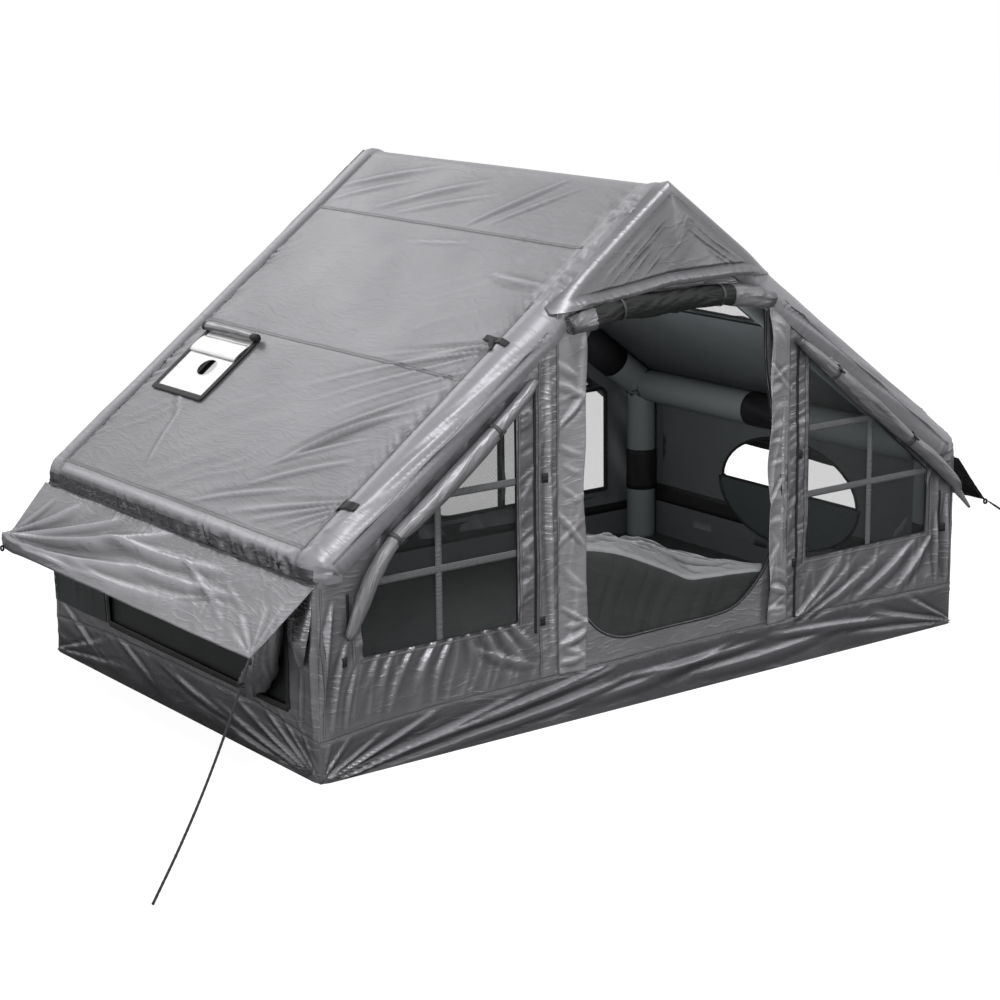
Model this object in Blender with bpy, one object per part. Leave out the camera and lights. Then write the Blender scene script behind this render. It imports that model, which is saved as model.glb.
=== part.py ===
"""Inflatable cabin tent, 3.1 m wide, 2.0 m deep and 1.93 m high at the ridge.

Metres, +Z up, the ground at z = 0. X runs along the front wall, whose door faces -Y.
Two air-filled arches, one inside each gable, carry a ridge beam and two eave beams.
The cloth is drawn 3 mm thick, so that every panel is a solid of its own.
"""

import functools
import math

import bmesh
import bpy
from mathutils import Matrix, Vector

# Driving sizes of the cabin.
tent_width = 3.10
tent_depth = 2.00
ridge_peak_height = 1.932
eave_beam_height = 0.738
tub_height = 0.170
roof_hem_height = 0.700
beam_diameter = 0.150
ridge_beam_diameter = 0.120
leg_diameter = 0.136
cloth = 0.003
gap = 0.0003

# Doorway, in the front wall's own x and z.
door_left = -0.430
door_right = 0.470
door_bottom = 0.275
door_top = 1.490
door_corner = 0.250
door_panel_half_width = 0.600

# Windows: bottom, and the slanted top from its inner to its outer end.
window_inner = 0.705
window_outer = 1.365
window_bottom = 0.420
window_inner_top = 1.220
window_outer_top = 0.680
back_window_inner = 0.250
back_window_outer = 1.310
back_window_bottom = 0.245
back_window_inner_top = 1.480
back_window_outer_top = 0.700
side_window_front = -0.810
side_window_back = 0.510
side_window_bottom = 0.226
side_window_top = 0.590
window_corner = 0.030
mesh_margin = 0.015
mesh_thickness = 0.001

# Side panels behind the side windows, each with a half-oval way through.
side_panel_half_length = 0.840
side_panel_bottom = 0.090
side_panel_top = 0.655
side_panel_thickness = 0.002
oval_centre = -0.010
oval_half_length = 0.430
oval_bottom = 0.375
oval_rise = 0.235

# Stove-pipe panel on the left roof slope, and the vent in the right one.
jack_front = 0.420
jack_back = 0.785
jack_top = 1.100
jack_bottom = 1.445
jack_thickness = 0.0025
jack_hole_middle = 0.565
jack_hole_down = 1.295
jack_hole_radius = 0.048
jack_roof_hole_radius = 0.070
jack_flap_top = 1.150
jack_flap_bottom = 1.236
jack_flap_thickness = 0.008
jack_roll_down = 1.1125
jack_roll_radius = 0.0175
vent_top = 0.850
vent_bottom = 0.985
vent_front = -0.500
vent_back = -0.150

# Valve on the front left leg, reached through a port in the side wall.
valve_height = 0.500
valve_radius = 0.018
valve_flange_radius = 0.030
valve_flange_thickness = 0.003
valve_reach = 0.0163
valve_port_radius = 0.025
valve_cap_radius = 0.021
valve_cap_thickness = 0.012

# Black sleeves round the beams.
sleeve_thickness = 0.002
leg_sleeve_bottom = 0.240
leg_sleeve_top = 0.430
eave_sleeve_length = 0.140
eave_sleeve_middle = 0.080
eave_sleeve_start = math.radians(72.0)
eave_sleeve_end = math.radians(340.0)

# Awnings, ropes, rolled covers and the door's fittings.
awning_corner_inset = 0.050
awning_reach = 0.2267
awning_drop = 0.2170
awning_thickness = 0.0025
hinge_offset = 0.0006
rope_diameter = 0.009
rope_side_reach = 0.944
rope_front_reach = 0.556
rope_back_reach = 0.300
rope_end_height = 0.006
rope_sag = 0.045
tie_thickness = 0.0015
tie_width = 0.022
tie_sides = 24
roll_standoff = 0.0006
door_roll_radius = 0.038
zip_width = 0.006
zip_thickness = 0.002
zip_offset = 0.003
zip_top = 1.420
fold_thickness = 0.002

# How finely curves are divided.
corner_steps = 6
ridge_steps = 3
eave_steps = 5
bend_steps = 3
tube_sides = 20
bend_radius = 0.085

# Sizes that follow from the ones above.
half_width = tent_width / 2
half_depth = tent_depth / 2
beam_radius = beam_diameter / 2
ridge_beam_radius = ridge_beam_diameter / 2
leg_radius = leg_diameter / 2
wrap_radius = beam_radius + gap + cloth
ridge_wrap = ridge_beam_radius + gap + cloth
eave_x = half_width - wrap_radius
rise = ridge_peak_height - eave_beam_height
slope = math.acos(wrap_radius / math.hypot(eave_x, rise)) - math.atan2(eave_x, rise)
arch_y = half_depth - cloth - gap - beam_radius
ridge_axis_height = ridge_peak_height - ridge_wrap / math.cos(slope)
arch_apex_height = ridge_peak_height - wrap_radius / math.cos(slope)
beam_end_y = arch_y - 0.030
wall_bottom = tub_height + gap
awning_half_length = half_depth
awning_outer_half_length = awning_half_length - awning_corner_inset

# Colour and roughness of each kind of cloth or fitting.
looks = {
    "roof cloth": ((0.36, 0.37, 0.38), 0.40),
    "wall cloth": ((0.17, 0.18, 0.19), 0.38),
    "tub cloth": ((0.12, 0.125, 0.13), 0.45),
    "floor cloth": ((0.035, 0.038, 0.038), 0.55),
    "beam cloth": ((0.06, 0.07, 0.07), 0.50),
    "black webbing": ((0.012, 0.012, 0.013), 0.70),
    "grey webbing": ((0.22, 0.225, 0.23), 0.65),
    "mesh": ((0.02, 0.02, 0.022), 0.80),
    "jack cloth": ((0.85, 0.85, 0.84), 0.60),
    "rope": ((0.045, 0.045, 0.048), 0.75),
    "zip": ((0.015, 0.015, 0.016), 0.50),
    "valve": ((0.02, 0.02, 0.022), 0.35),
}

for old in list(bpy.data.objects):
    bpy.data.objects.remove(old, do_unlink=True)


def give_look(part, look):
    colour, roughness = looks[look]
    paint = bpy.data.materials.new(part.name + " " + look)
    paint.use_nodes = True
    shader = paint.node_tree.nodes["Principled BSDF"]
    shader.inputs["Base Color"].default_value = (*colour, 1.0)
    shader.inputs["Roughness"].default_value = roughness
    shader.inputs["Metallic"].default_value = 0.0
    part.data.materials.append(paint)


def add_mesh(name, mesh, look):
    """Make a smooth-shaded object from a bmesh, keeping its edges over 40 degrees sharp."""
    data = bpy.data.meshes.new(name)
    mesh.to_mesh(data)
    mesh.free()
    data.shade_smooth()
    data.set_sharp_from_angle(angle=math.radians(40.0))
    part = bpy.data.objects.new(name, data)
    bpy.context.scene.collection.objects.link(part)
    if look:
        give_look(part, look)
    return part


def hide_helper(part):
    part.hide_render = True
    part.display_type = "WIRE"
    return part


def cut(part, cutter, operation="DIFFERENCE"):
    modifier = part.modifiers.new("cut by " + cutter.name, "BOOLEAN")
    modifier.operation = operation
    modifier.solver = "EXACT"
    modifier.object = cutter


def move_origin(part, origin):
    """Put the object's origin on its joint without moving its shape."""
    part.data.transform(Matrix.Translation(-Vector(origin)))
    part.location = origin


# Where a point of each flat wall or roof slope lies. Depth runs inwards, lift outwards.
def on_front(x, z, depth):
    return Vector((x, depth - half_depth, z))


def on_back(x, z, depth):
    return Vector((x, half_depth - depth, z))


def on_side(side, y, z, depth):
    return Vector((side * (half_width - depth), y, z))


def on_slope(side, down, y, lift):
    x = down * math.cos(slope) + lift * math.sin(slope)
    z = ridge_peak_height - down * math.sin(slope) + lift * math.cos(slope)
    return Vector((side * x, y, z))


def plate(name, loops, place, near, far, look):
    """Fill an outline and its holes, extrude it from near to far, and lay it where `place` says."""
    mesh = bmesh.new()
    edges = []
    for loop in loops:
        corners = [mesh.verts.new((a, b, near)) for a, b in loop]
        edges += [mesh.edges.new((corners[i - 1], corners[i])) for i in range(len(corners))]
    bmesh.ops.triangle_fill(mesh, edges=edges, use_beauty=True, use_dissolve=False)
    grown = bmesh.ops.extrude_face_region(mesh, geom=mesh.faces[:])
    for item in grown["geom"]:
        if isinstance(item, bmesh.types.BMVert):
            item.co.z = far
    for vertex in mesh.verts:
        vertex.co = place(*vertex.co)
    mesh.normal_update()
    bmesh.ops.recalc_face_normals(mesh, faces=mesh.faces)
    return add_mesh(name, mesh, look)


def rounded(corners, radius, steps=corner_steps):
    """The outline with each corner replaced by an arc."""
    outline = []
    for i, (x, y) in enumerate(corners):
        corner = Vector((x, y))
        back = (Vector(corners[i - 1]) - corner).normalized()
        ahead = (Vector(corners[(i + 1) % len(corners)]) - corner).normalized()
        half = back.angle(ahead) / 2
        middle = corner + (back + ahead).normalized() * radius / math.sin(half)
        start = corner + back * radius / math.tan(half) - middle
        turn = start.angle_signed(corner + ahead * radius / math.tan(half) - middle)
        for k in range(steps + 1):
            spoke = Matrix.Rotation(-turn * k / steps, 2) @ start
            outline.append(tuple(middle + spoke))
    return outline


def inset(corners, distance):
    """The outline, given counter-clockwise, with each side moved inwards by `distance`."""
    moved = []
    for i, corner in enumerate(corners):
        corner = Vector(corner)
        before = (corner - Vector(corners[i - 1])).normalized()
        after = (Vector(corners[(i + 1) % len(corners)]) - corner).normalized()
        inwards = Vector((-before.y - after.y, before.x + after.x)).normalized()
        cosine = inwards.dot(Vector((-after.y, after.x)))
        moved.append(tuple(corner + inwards * distance / cosine))
    return moved


def circle(radius, sides, centre=(0.0, 0.0), start=0.0, end=2 * math.pi):
    """Points round a circle, or along an arc with both its ends."""
    whole = end - start > 2 * math.pi - 0.001
    count = sides if whole else sides + 1
    points = []
    for k in range(count):
        angle = start + (end - start) * k / sides
        points.append((centre[0] + radius * math.cos(angle), centre[1] + radius * math.sin(angle)))
    return points


def mirrored(side, points):
    """The points for the right side, or their mirror image, kept counter-clockwise."""
    if side > 0:
        return list(points)
    return [(-x, y) for x, y in reversed(points)]


def turned(name, profile, place, look, sides=24):
    """Spin a profile of (radius, height) round its own axis, and lay it where `place` says."""
    mesh = bmesh.new()
    points = [mesh.verts.new((radius, 0.0, height)) for radius, height in profile]
    edges = [mesh.edges.new(pair) for pair in zip(points, points[1:])]
    bmesh.ops.spin(
        mesh, geom=points + edges, axis=(0, 0, 1), cent=(0, 0, 0),
        angle=2 * math.pi, steps=sides, use_merge=True,
    )
    bmesh.ops.remove_doubles(mesh, verts=mesh.verts, dist=0.000001)
    for vertex in mesh.verts:
        vertex.co = place(*vertex.co)
    mesh.normal_update()
    bmesh.ops.recalc_face_normals(mesh, faces=mesh.faces)
    return add_mesh(name, mesh, look)


def mitred_tube(name, path, y, look, extra=0.0):
    """Air-beam tube along (x, z, radius) points of an upright plane, its joints cut on the mitre."""
    mesh = bmesh.new()
    rings = []
    for i, (x, z, radius) in enumerate(path):
        here = Vector((x, z))
        before = here - Vector(path[i - 1][:2]) if i else Vector(path[1][:2]) - here
        after = Vector(path[i + 1][:2]) - here if i + 1 < len(path) else before
        along = (before.normalized() + after.normalized()).normalized()
        across = Vector((along.y, -along.x)) / along.dot(after.normalized())
        ring = []
        for k in range(tube_sides):
            angle = 2 * math.pi * k / tube_sides
            spot = here + across * (radius + extra) * math.cos(angle)
            ring.append(mesh.verts.new((spot.x, y + (radius + extra) * math.sin(angle), spot.y)))
        rings.append(ring)
    for ring, following in zip(rings, rings[1:]):
        for k in range(tube_sides):
            mesh.faces.new((ring[k - 1], ring[k], following[k]))
            mesh.faces.new((ring[k - 1], following[k], following[k - 1]))
    mesh.faces.new(rings[0])
    mesh.faces.new(rings[-1])
    mesh.normal_update()
    bmesh.ops.recalc_face_normals(mesh, faces=mesh.faces)
    return add_mesh(name, mesh, look)


def bent(corner, before, after, radius_before, radius_after):
    """A corner of a beam's axis replaced by the short straight runs that are welded there."""
    corner = Vector(corner)
    arriving = (corner - Vector(before)).normalized()
    leaving = (Vector(after) - corner).normalized()
    turn = arriving.angle(leaving)
    centre = corner + (leaving - arriving).normalized() * bend_radius / math.cos(turn / 2)
    start = corner - arriving * bend_radius * math.tan(turn / 2) - centre
    sign = -1.0 if arriving.cross(leaving) < 0 else 1.0
    points = []
    for k in range(bend_steps):
        step = sign * turn * (k + 0.5) / bend_steps
        spoke = Matrix.Rotation(step, 2) @ start / math.cos(turn / bend_steps / 2)
        share = k / (bend_steps - 1)
        radius = radius_before + (radius_after - radius_before) * share
        spot = centre + spoke
        points.append((spot.x, spot.y, radius))
    return points


def sheet(name, rows, thickness, look):
    """Cloth form: a grid of points seen from its outer side, thickened outwards."""
    mesh = bmesh.new()
    grid = [[mesh.verts.new(point) for point in row] for row in rows]
    for upper, lower in zip(grid, grid[1:]):
        for i in range(len(upper) - 1):
            mesh.faces.new((upper[i], lower[i], lower[i + 1], upper[i + 1]))
    part = add_mesh(name, mesh, look)
    solidify = part.modifiers.new("thickness", "SOLIDIFY")
    solidify.thickness = thickness
    solidify.offset = 1.0
    solidify.use_even_offset = True
    return part


def soft_tube(name, points, look, resolution=3):
    """Round soft piece along (x, y, z, radius) points."""
    thickest = max(point[3] for point in points)
    curve = bpy.data.curves.new(name, "CURVE")
    curve.dimensions = "3D"
    curve.bevel_depth = thickest
    curve.bevel_resolution = resolution
    curve.use_fill_caps = True
    spline = curve.splines.new("POLY")
    spline.points.add(len(points) - 1)
    for spot, (x, y, z, radius) in zip(spline.points, points):
        spot.co = (x, y, z, 1.0)
        spot.radius = radius / thickest
    spline.use_smooth = True
    part = bpy.data.objects.new(name, curve)
    bpy.context.scene.collection.objects.link(part)
    give_look(part, look)
    return part


def along_curve(points, count):
    """`count` points, evenly spaced, on a smooth curve through the given points of any dimension."""
    ends = [2 * points[0] - points[1]] + points + [2 * points[-1] - points[-2]]
    fine = []
    for a, b, c, d in zip(ends, ends[1:], ends[2:], ends[3:]):
        for k in range(24):
            t = k / 24
            fine.append(
                b + (c - a) * (t / 2) + (a * 2 - b * 5 + c * 4 - d) * (t * t / 2)
                + (b * 3 - a - c * 3 + d) * (t ** 3 / 2)
            )
    fine.append(points[-1])
    reach = [0.0]
    for one, other in zip(fine, fine[1:]):
        reach.append(reach[-1] + (other - one).length)
    spaced = []
    index = 0
    for k in range(count):
        wanted = reach[-1] * k / (count - 1)
        while index < len(fine) - 2 and reach[index + 1] < wanted:
            index += 1
        step = reach[index + 1] - reach[index]
        share = (wanted - reach[index]) / step if step else 0.0
        spaced.append(fine[index].lerp(fine[index + 1], share))
    return spaced


def tie_reach(radius):
    """How far the outside of a tie is from the middle of the roll that it holds."""
    return (radius + gap) / math.cos(math.pi / tie_sides) + tie_thickness


def tie(name, first, second, radius, out, look):
    """Band round a roll, halfway between two points of its centre line. `out` points off the wall."""
    middle = (first + second) / 2
    along = (second - first).normalized()
    out = (out - along * out.dot(along)).normalized()
    across = along.cross(out)

    def place(a, b, d):
        return middle + across * a + out * b + along * d

    outer = circle(tie_reach(radius), tie_sides)
    inner = circle(tie_reach(radius) - tie_thickness, tie_sides)
    return plate(name, [outer, inner], place, -tie_width / 2, tie_width / 2, look)


def roof_profile(depth):
    """Right half of the roof cloth in x and z, `depth` inside its outer face, ridge to hem."""
    points = [(gap / 2, ridge_axis_height + ridge_wrap - depth)]
    for k in range(ridge_steps):
        angle = math.pi / 2 - (k + 0.5) * slope / ridge_steps
        reach = (ridge_wrap - depth) / math.cos(slope / ridge_steps / 2)
        points.append((reach * math.cos(angle), ridge_axis_height + reach * math.sin(angle)))
    for k in range(eave_steps):
        step = (math.pi / 2 - slope) / eave_steps
        angle = math.pi / 2 - slope - (k + 0.5) * step
        reach = (wrap_radius - depth) / math.cos(step / 2)
        points.append((eave_x + reach * math.cos(angle), eave_beam_height + reach * math.sin(angle)))
    points.append((half_width - depth, roof_hem_height))
    return points


def slope_height(x, depth):
    """Height of the straight roof slope at x, `depth` inside its outer face."""
    return ridge_peak_height - abs(x) * math.tan(slope) - depth / math.cos(slope)


# Air frame. Each arch is one tube: leg, rafter, rafter and leg, welded on the mitre.
eave_corner = Vector((eave_x, eave_beam_height))
apex = Vector((0.0, arch_apex_height))
foot = Vector((eave_x, cloth + gap))
left_eave = Vector((-eave_x, eave_beam_height))
left_foot = Vector((-eave_x, cloth + gap))
arch_path = [(left_foot.x, left_foot.y, leg_radius)]
arch_path += bent(left_eave, left_foot, apex, leg_radius, beam_radius)
arch_path += bent(apex, left_eave, eave_corner, beam_radius, beam_radius)
arch_path += bent(eave_corner, apex, foot, beam_radius, leg_radius)
arch_path += [(foot.x, foot.y, leg_radius)]

arch_cutters = []
for name, y in (("front_arch_beam", -arch_y), ("back_arch_beam", arch_y)):
    mitred_tube(name, arch_path, y, "beam cloth")
    cutter = mitred_tube(name + " cutter", arch_path, y, None, extra=2 * gap)
    arch_cutters.append(hide_helper(cutter))


def straight_beam(name, x, z, radius):
    """Beam along Y whose ends are cut to sit against the two arches."""
    beam = plate(
        name, [circle(radius, tube_sides)],
        lambda a, b, d: Vector((x + a, d, z + b)), -beam_end_y, beam_end_y, "beam cloth",
    )
    for cutter in arch_cutters:
        cut(beam, cutter)


straight_beam("ridge_beam", 0.0, ridge_axis_height, ridge_beam_radius)
straight_beam("eave_beam_left", -eave_x, eave_beam_height, beam_radius)
straight_beam("eave_beam_right", eave_x, eave_beam_height, beam_radius)

# Black sleeves: a band round each leg, and one round the inner side of each eave beam.
sleeve_inner = leg_radius + gap
for end, y in (("front", -arch_y), ("back", arch_y)):
    for hand, side in (("left", -1), ("right", 1)):
        plate(
            f"leg_sleeve_{end}_{hand}",
            [circle(sleeve_inner + sleeve_thickness, tube_sides), circle(sleeve_inner, tube_sides)],
            lambda a, b, d: Vector((side * eave_x + a, y + b, d)),
            leg_sleeve_bottom, leg_sleeve_top, "black webbing",
        )

eave_sleeve_step = (eave_sleeve_end - eave_sleeve_start) / tube_sides
eave_sleeve_inner = (beam_radius + gap) / math.cos(eave_sleeve_step / 2)
eave_sleeve_outline = circle(
    eave_sleeve_inner + sleeve_thickness, tube_sides, start=eave_sleeve_start, end=eave_sleeve_end
)
eave_sleeve_outline += reversed(
    circle(eave_sleeve_inner, tube_sides, start=eave_sleeve_start, end=eave_sleeve_end)
)
for hand, side in (("left", -1), ("right", 1)):
    plate(
        f"eave_sleeve_{hand}", [eave_sleeve_outline],
        lambda a, b, d: Vector((side * (eave_x + a), d, eave_beam_height + b)),
        eave_sleeve_middle - eave_sleeve_length / 2, eave_sleeve_middle + eave_sleeve_length / 2,
        "black webbing",
    )

# Floor tub: a tray with a low wall all round, sewn to the bottom of the walls.
tub = bmesh.new()
bmesh.ops.create_cube(
    tub, size=1.0,
    matrix=Matrix.Translation((0.0, 0.0, tub_height / 2))
    @ Matrix.Diagonal((tent_width, tent_depth, tub_height, 1.0)),
)
tub_top = max(tub.faces, key=lambda face: face.calc_center_median().z)
bmesh.ops.inset_region(tub, faces=[tub_top], thickness=cloth, use_even_offset=True)
tub_pocket = bmesh.ops.extrude_face_region(tub, geom=[tub_top])
for item in tub_pocket["geom"]:
    if isinstance(item, bmesh.types.BMVert):
        item.co.z = cloth
if tub_top.is_valid:
    bmesh.ops.delete(tub, geom=[tub_top], context="FACES_ONLY")
tub.normal_update()
bmesh.ops.recalc_face_normals(tub, faces=tub.faces)
add_mesh("floor_tub", tub, "tub cloth")

# Roof: two panels that meet on the ridge, each folded down over its eave beam.
roof_panels = {}
for hand, side in (("left", -1), ("right", 1)):
    outline = roof_profile(0.0) + list(reversed(roof_profile(cloth)))
    roof_panels[hand] = plate(
        f"roof_panel_{hand}", [outline],
        lambda a, b, d: Vector((side * a, d, b)), -half_depth, half_depth, "roof cloth",
    )

jack_cutter = plate(
    "stove hole cutter",
    [circle(jack_roof_hole_radius, 24, (jack_hole_down, jack_hole_middle))],
    functools.partial(on_slope, -1), -0.02, 0.02, None,
)
cut(roof_panels["left"], hide_helper(jack_cutter))
vent_outline = [
    (vent_top, vent_front), (vent_bottom, vent_front), (vent_bottom, vent_back), (vent_top, vent_back)
]
vent_cutter = plate(
    "vent cutter", [rounded(vent_outline, window_corner)],
    functools.partial(on_slope, 1), -0.02, 0.02, None,
)
cut(roof_panels["right"], hide_helper(vent_cutter))
plate(
    "roof_vent_mesh", [rounded(inset(vent_outline, -mesh_margin), window_corner + mesh_margin)],
    functools.partial(on_slope, 1), -cloth - gap - mesh_thickness, -cloth - gap, "mesh",
)

# Front wall: a door panel between two window panels, all under the roof's front edge.
wall_inner_face = cloth + gap
wall_top = roof_profile(wall_inner_face)
wall_edge = half_width - wall_inner_face
window_wall_side = door_panel_half_width + gap


def door_edge(offset, top):
    """The doorway's edge moved outwards, from its top left corner round to its top right one."""
    left = door_left - offset
    right = door_right + offset
    bottom = door_bottom - offset
    radius = door_corner + offset
    points = [(left, top)]
    points += circle(radius, corner_steps, (left + radius, bottom + radius), math.pi, 1.5 * math.pi)
    points += circle(radius, corner_steps, (right - radius, bottom + radius), 1.5 * math.pi, 2 * math.pi)
    points.append((right, top))
    return points


peak_run = [point for point in wall_top if point[0] < door_panel_half_width]
door_wall_top = [(door_panel_half_width, slope_height(door_panel_half_width, wall_inner_face))]
door_wall_top += [(x, z) for x, z in reversed(peak_run)]
door_wall_top += [(-x, z) for x, z in peak_run]
door_wall_top += [(-door_panel_half_width, slope_height(door_panel_half_width, wall_inner_face))]
door_wall = [(-door_panel_half_width, wall_bottom), (door_panel_half_width, wall_bottom)] + door_wall_top
plate("front_door_panel", [door_wall, door_edge(0.0, door_top)], on_front, 0.0, cloth, "wall cloth")

window_wall = [(window_wall_side, wall_bottom), (wall_edge, wall_bottom)]
window_wall += [(x, z) for x, z in reversed(wall_top) if x > door_panel_half_width]
window_wall += [(window_wall_side, slope_height(window_wall_side, wall_inner_face))]
window = [
    (window_inner, window_bottom), (window_outer, window_bottom),
    (window_outer, window_outer_top), (window_inner, window_inner_top),
]

strap_width = 0.030
strap_middle = 1.042
lower_strap = 0.675
upper_strap = 0.935
strap_run = mesh_margin + 0.010
near_edge = strap_middle - strap_width / 2
far_edge = strap_middle + strap_width / 2
inner_end = window_inner - strap_run
outer_end = window_outer + strap_run
strap_outline = [
    (near_edge, window_bottom - strap_run), (far_edge, window_bottom - strap_run),
    (far_edge, lower_strap - strap_width / 2), (outer_end, lower_strap - strap_width / 2),
    (outer_end, lower_strap + strap_width / 2), (far_edge, lower_strap + strap_width / 2),
    (far_edge, upper_strap - strap_width / 2), (outer_end, upper_strap - strap_width / 2),
    (outer_end, upper_strap + strap_width / 2), (inner_end, upper_strap + strap_width / 2),
    (inner_end, upper_strap - strap_width / 2), (near_edge, upper_strap - strap_width / 2),
    (near_edge, lower_strap + strap_width / 2), (inner_end, lower_strap + strap_width / 2),
    (inner_end, lower_strap - strap_width / 2), (near_edge, lower_strap - strap_width / 2),
]
strap_front = 0.0005
for hand, side in (("left", -1), ("right", 1)):
    plate(
        f"front_window_panel_{hand}", [mirrored(side, window_wall), mirrored(side, rounded(window, window_corner))],
        on_front, 0.0, cloth, "wall cloth",
    )
    plate(
        f"front_window_mesh_{hand}",
        [mirrored(side, rounded(inset(window, -mesh_margin), window_corner + mesh_margin))],
        on_front, cloth + gap, cloth + gap + mesh_thickness, "mesh",
    )
    straps = plate(
        f"front_window_straps_{hand}", [mirrored(side, strap_outline)],
        on_front, strap_front, cloth, "grey webbing",
    )
    strap_trim = plate(
        f"front strap trim {hand}",
        [mirrored(side, rounded(inset(window, gap), window_corner - gap))],
        on_front, -0.010, 0.010, None,
    )
    cut(straps, hide_helper(strap_trim), "INTERSECT")

# Back wall: one panel with two large windows, each crossed by a sewn upright and a sewn strap.
back_outline = [(-wall_edge, wall_bottom), (wall_edge, wall_bottom)]
back_outline += list(reversed(wall_top))
back_outline += [(-x, z) for x, z in wall_top]
back_wall = plate("back_wall", [back_outline], on_back, 0.0, cloth, "wall cloth")
back_window = [
    (back_window_inner, back_window_bottom), (back_window_outer, back_window_bottom),
    (back_window_outer, back_window_outer_top), (back_window_inner, back_window_inner_top),
]
back_upright = 0.700
back_strap = 0.735
back_bar_half = 0.011
bar_run = 0.050
back_bars = [
    (back_upright - back_bar_half, back_window_bottom - bar_run),
    (back_upright + back_bar_half, back_window_bottom - bar_run),
    (back_upright + back_bar_half, back_strap - back_bar_half),
    (back_window_outer + bar_run, back_strap - back_bar_half),
    (back_window_outer + bar_run, back_strap + back_bar_half),
    (back_upright + back_bar_half, back_strap + back_bar_half),
    (back_upright + back_bar_half, back_window_inner_top),
    (back_upright - back_bar_half, back_window_inner_top),
    (back_upright - back_bar_half, back_strap + back_bar_half),
    (back_window_inner - bar_run, back_strap + back_bar_half),
    (back_window_inner - bar_run, back_strap - back_bar_half),
    (back_upright - back_bar_half, back_strap - back_bar_half),
]
for hand, side in (("left", -1), ("right", 1)):
    opening = plate(
        f"back window cutter {hand}", [mirrored(side, rounded(back_window, window_corner))],
        on_back, -0.010, 0.010, None,
    )
    bars = plate(f"back bars {hand}", [mirrored(side, back_bars)], on_back, -0.020, 0.020, None)
    cut(opening, hide_helper(bars))
    cut(back_wall, hide_helper(opening))
    plate(
        f"back_window_mesh_{hand}",
        [mirrored(side, rounded(inset(back_window, -mesh_margin), window_corner + mesh_margin))],
        on_back, cloth + gap, cloth + gap + mesh_thickness, "mesh",
    )

# Side walls, with a window each, and behind it the inner panel with its half-oval way through.
side_wall = [
    (-half_depth, wall_bottom), (half_depth, wall_bottom),
    (half_depth, roof_hem_height - gap), (-half_depth, roof_hem_height - gap),
]
side_window = [
    (side_window_front, side_window_bottom), (side_window_back, side_window_bottom),
    (side_window_back, side_window_top), (side_window_front, side_window_top),
]
side_panel = [
    (-side_panel_half_length, side_panel_bottom), (side_panel_half_length, side_panel_bottom),
    (side_panel_half_length, side_panel_top), (-side_panel_half_length, side_panel_top),
]
half_oval = [
    (oval_centre + oval_half_length * math.cos(math.pi * k / 16), oval_bottom + oval_rise * math.sin(math.pi * k / 16))
    for k in range(17)
]
for hand, side in (("left", -1), ("right", 1)):
    holes = [rounded(side_window, window_corner)]
    if side < 0:
        holes.append(circle(valve_port_radius, 20, (-arch_y, valve_height)))
    plate(
        f"side_wall_{hand}", [side_wall] + holes,
        functools.partial(on_side, side), 0.0, cloth, "wall cloth",
    )
    plate(
        f"side_inner_panel_{hand}", [rounded(side_panel, window_corner), half_oval],
        functools.partial(on_side, side), cloth + gap, cloth + gap + side_panel_thickness, "wall cloth",
    )

# Valve on the leg, and the cap that screws onto it.
leg_outside = half_width - eave_x - leg_radius


def on_valve(a, b, d):
    return Vector((-(half_width - leg_outside) - gap - d, -arch_y + a, valve_height + b))


turned(
    "inflation_valve",
    [
        (0.0, 0.0), (valve_flange_radius, 0.0), (valve_flange_radius, valve_flange_thickness),
        (valve_radius, valve_flange_thickness), (valve_radius, valve_reach), (0.0, valve_reach),
    ],
    on_valve, "valve",
)
cap_start = valve_reach + gap
cap_rim = cap_start + valve_cap_thickness
valve_cap = turned(
    "valve_cap",
    [
        (0.0, cap_start), (valve_cap_radius, cap_start),
        (valve_cap_radius, cap_rim - 0.003), (valve_cap_radius - 0.003, cap_rim),
        (valve_cap_radius - 0.008, cap_rim), (valve_cap_radius - 0.009, cap_rim - 0.003),
        (0.0, cap_rim - 0.003),
    ],
    on_valve, "valve",
)
move_origin(valve_cap, on_valve(0.0, 0.0, cap_start))

# Teardrop flap over the valve's port: sewn along its top edge, and held off the wall by the cap.
flap_over_valve = [
    (0.685, 0.030, 0.0008), (0.650, 0.045, 0.006), (0.600, 0.055, 0.014), (0.550, 0.056, 0.022),
    (0.500, 0.050, 0.025), (0.450, 0.034, 0.020), (0.410, 0.006, 0.010),
]
rows = []
for z, half, lift in flap_over_valve:
    row = []
    for share in (-1.0, -0.5, 0.0, 0.5, 1.0):
        row.append(on_side(-1, -arch_y - half * share, z, -lift))
    rows.append(row)
sheet("valve_cover_flap", rows, fold_thickness, "wall cloth")


# Rolled-up covers. Where ties hold a roll, its middle stands off the wall by the tie's reach.
def cover_roll(name, points, place, steps, look, tied=True):
    """Roll along (across, up, radius) points of a wall. Returns the points of its centre line."""
    spots = []
    for across, up, radius in along_curve([Vector(point) for point in points], steps):
        standoff = tie_reach(radius + roll_standoff) if tied else radius
        spot = place(across, up, -gap - standoff)
        spots.append((spot.x, spot.y, spot.z, radius))
    soft_tube(name, spots, look, resolution=roll_resolution)
    return spots


def tie_at(name, spots, x):
    """Tie round the straight run of a roll that is nearest to x on the front wall."""
    runs = list(zip(spots, spots[1:]))
    first, second = min(runs, key=lambda run: abs((run[0][0] + run[1][0]) / 2 - x))
    radius = (first[3] + second[3]) / 2 + abs(first[3] - second[3]) * tie_width_share
    tie(name, Vector(first[:3]), Vector(second[:3]), radius, Vector((0.0, -1.0, 0.0)), "grey webbing")


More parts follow.
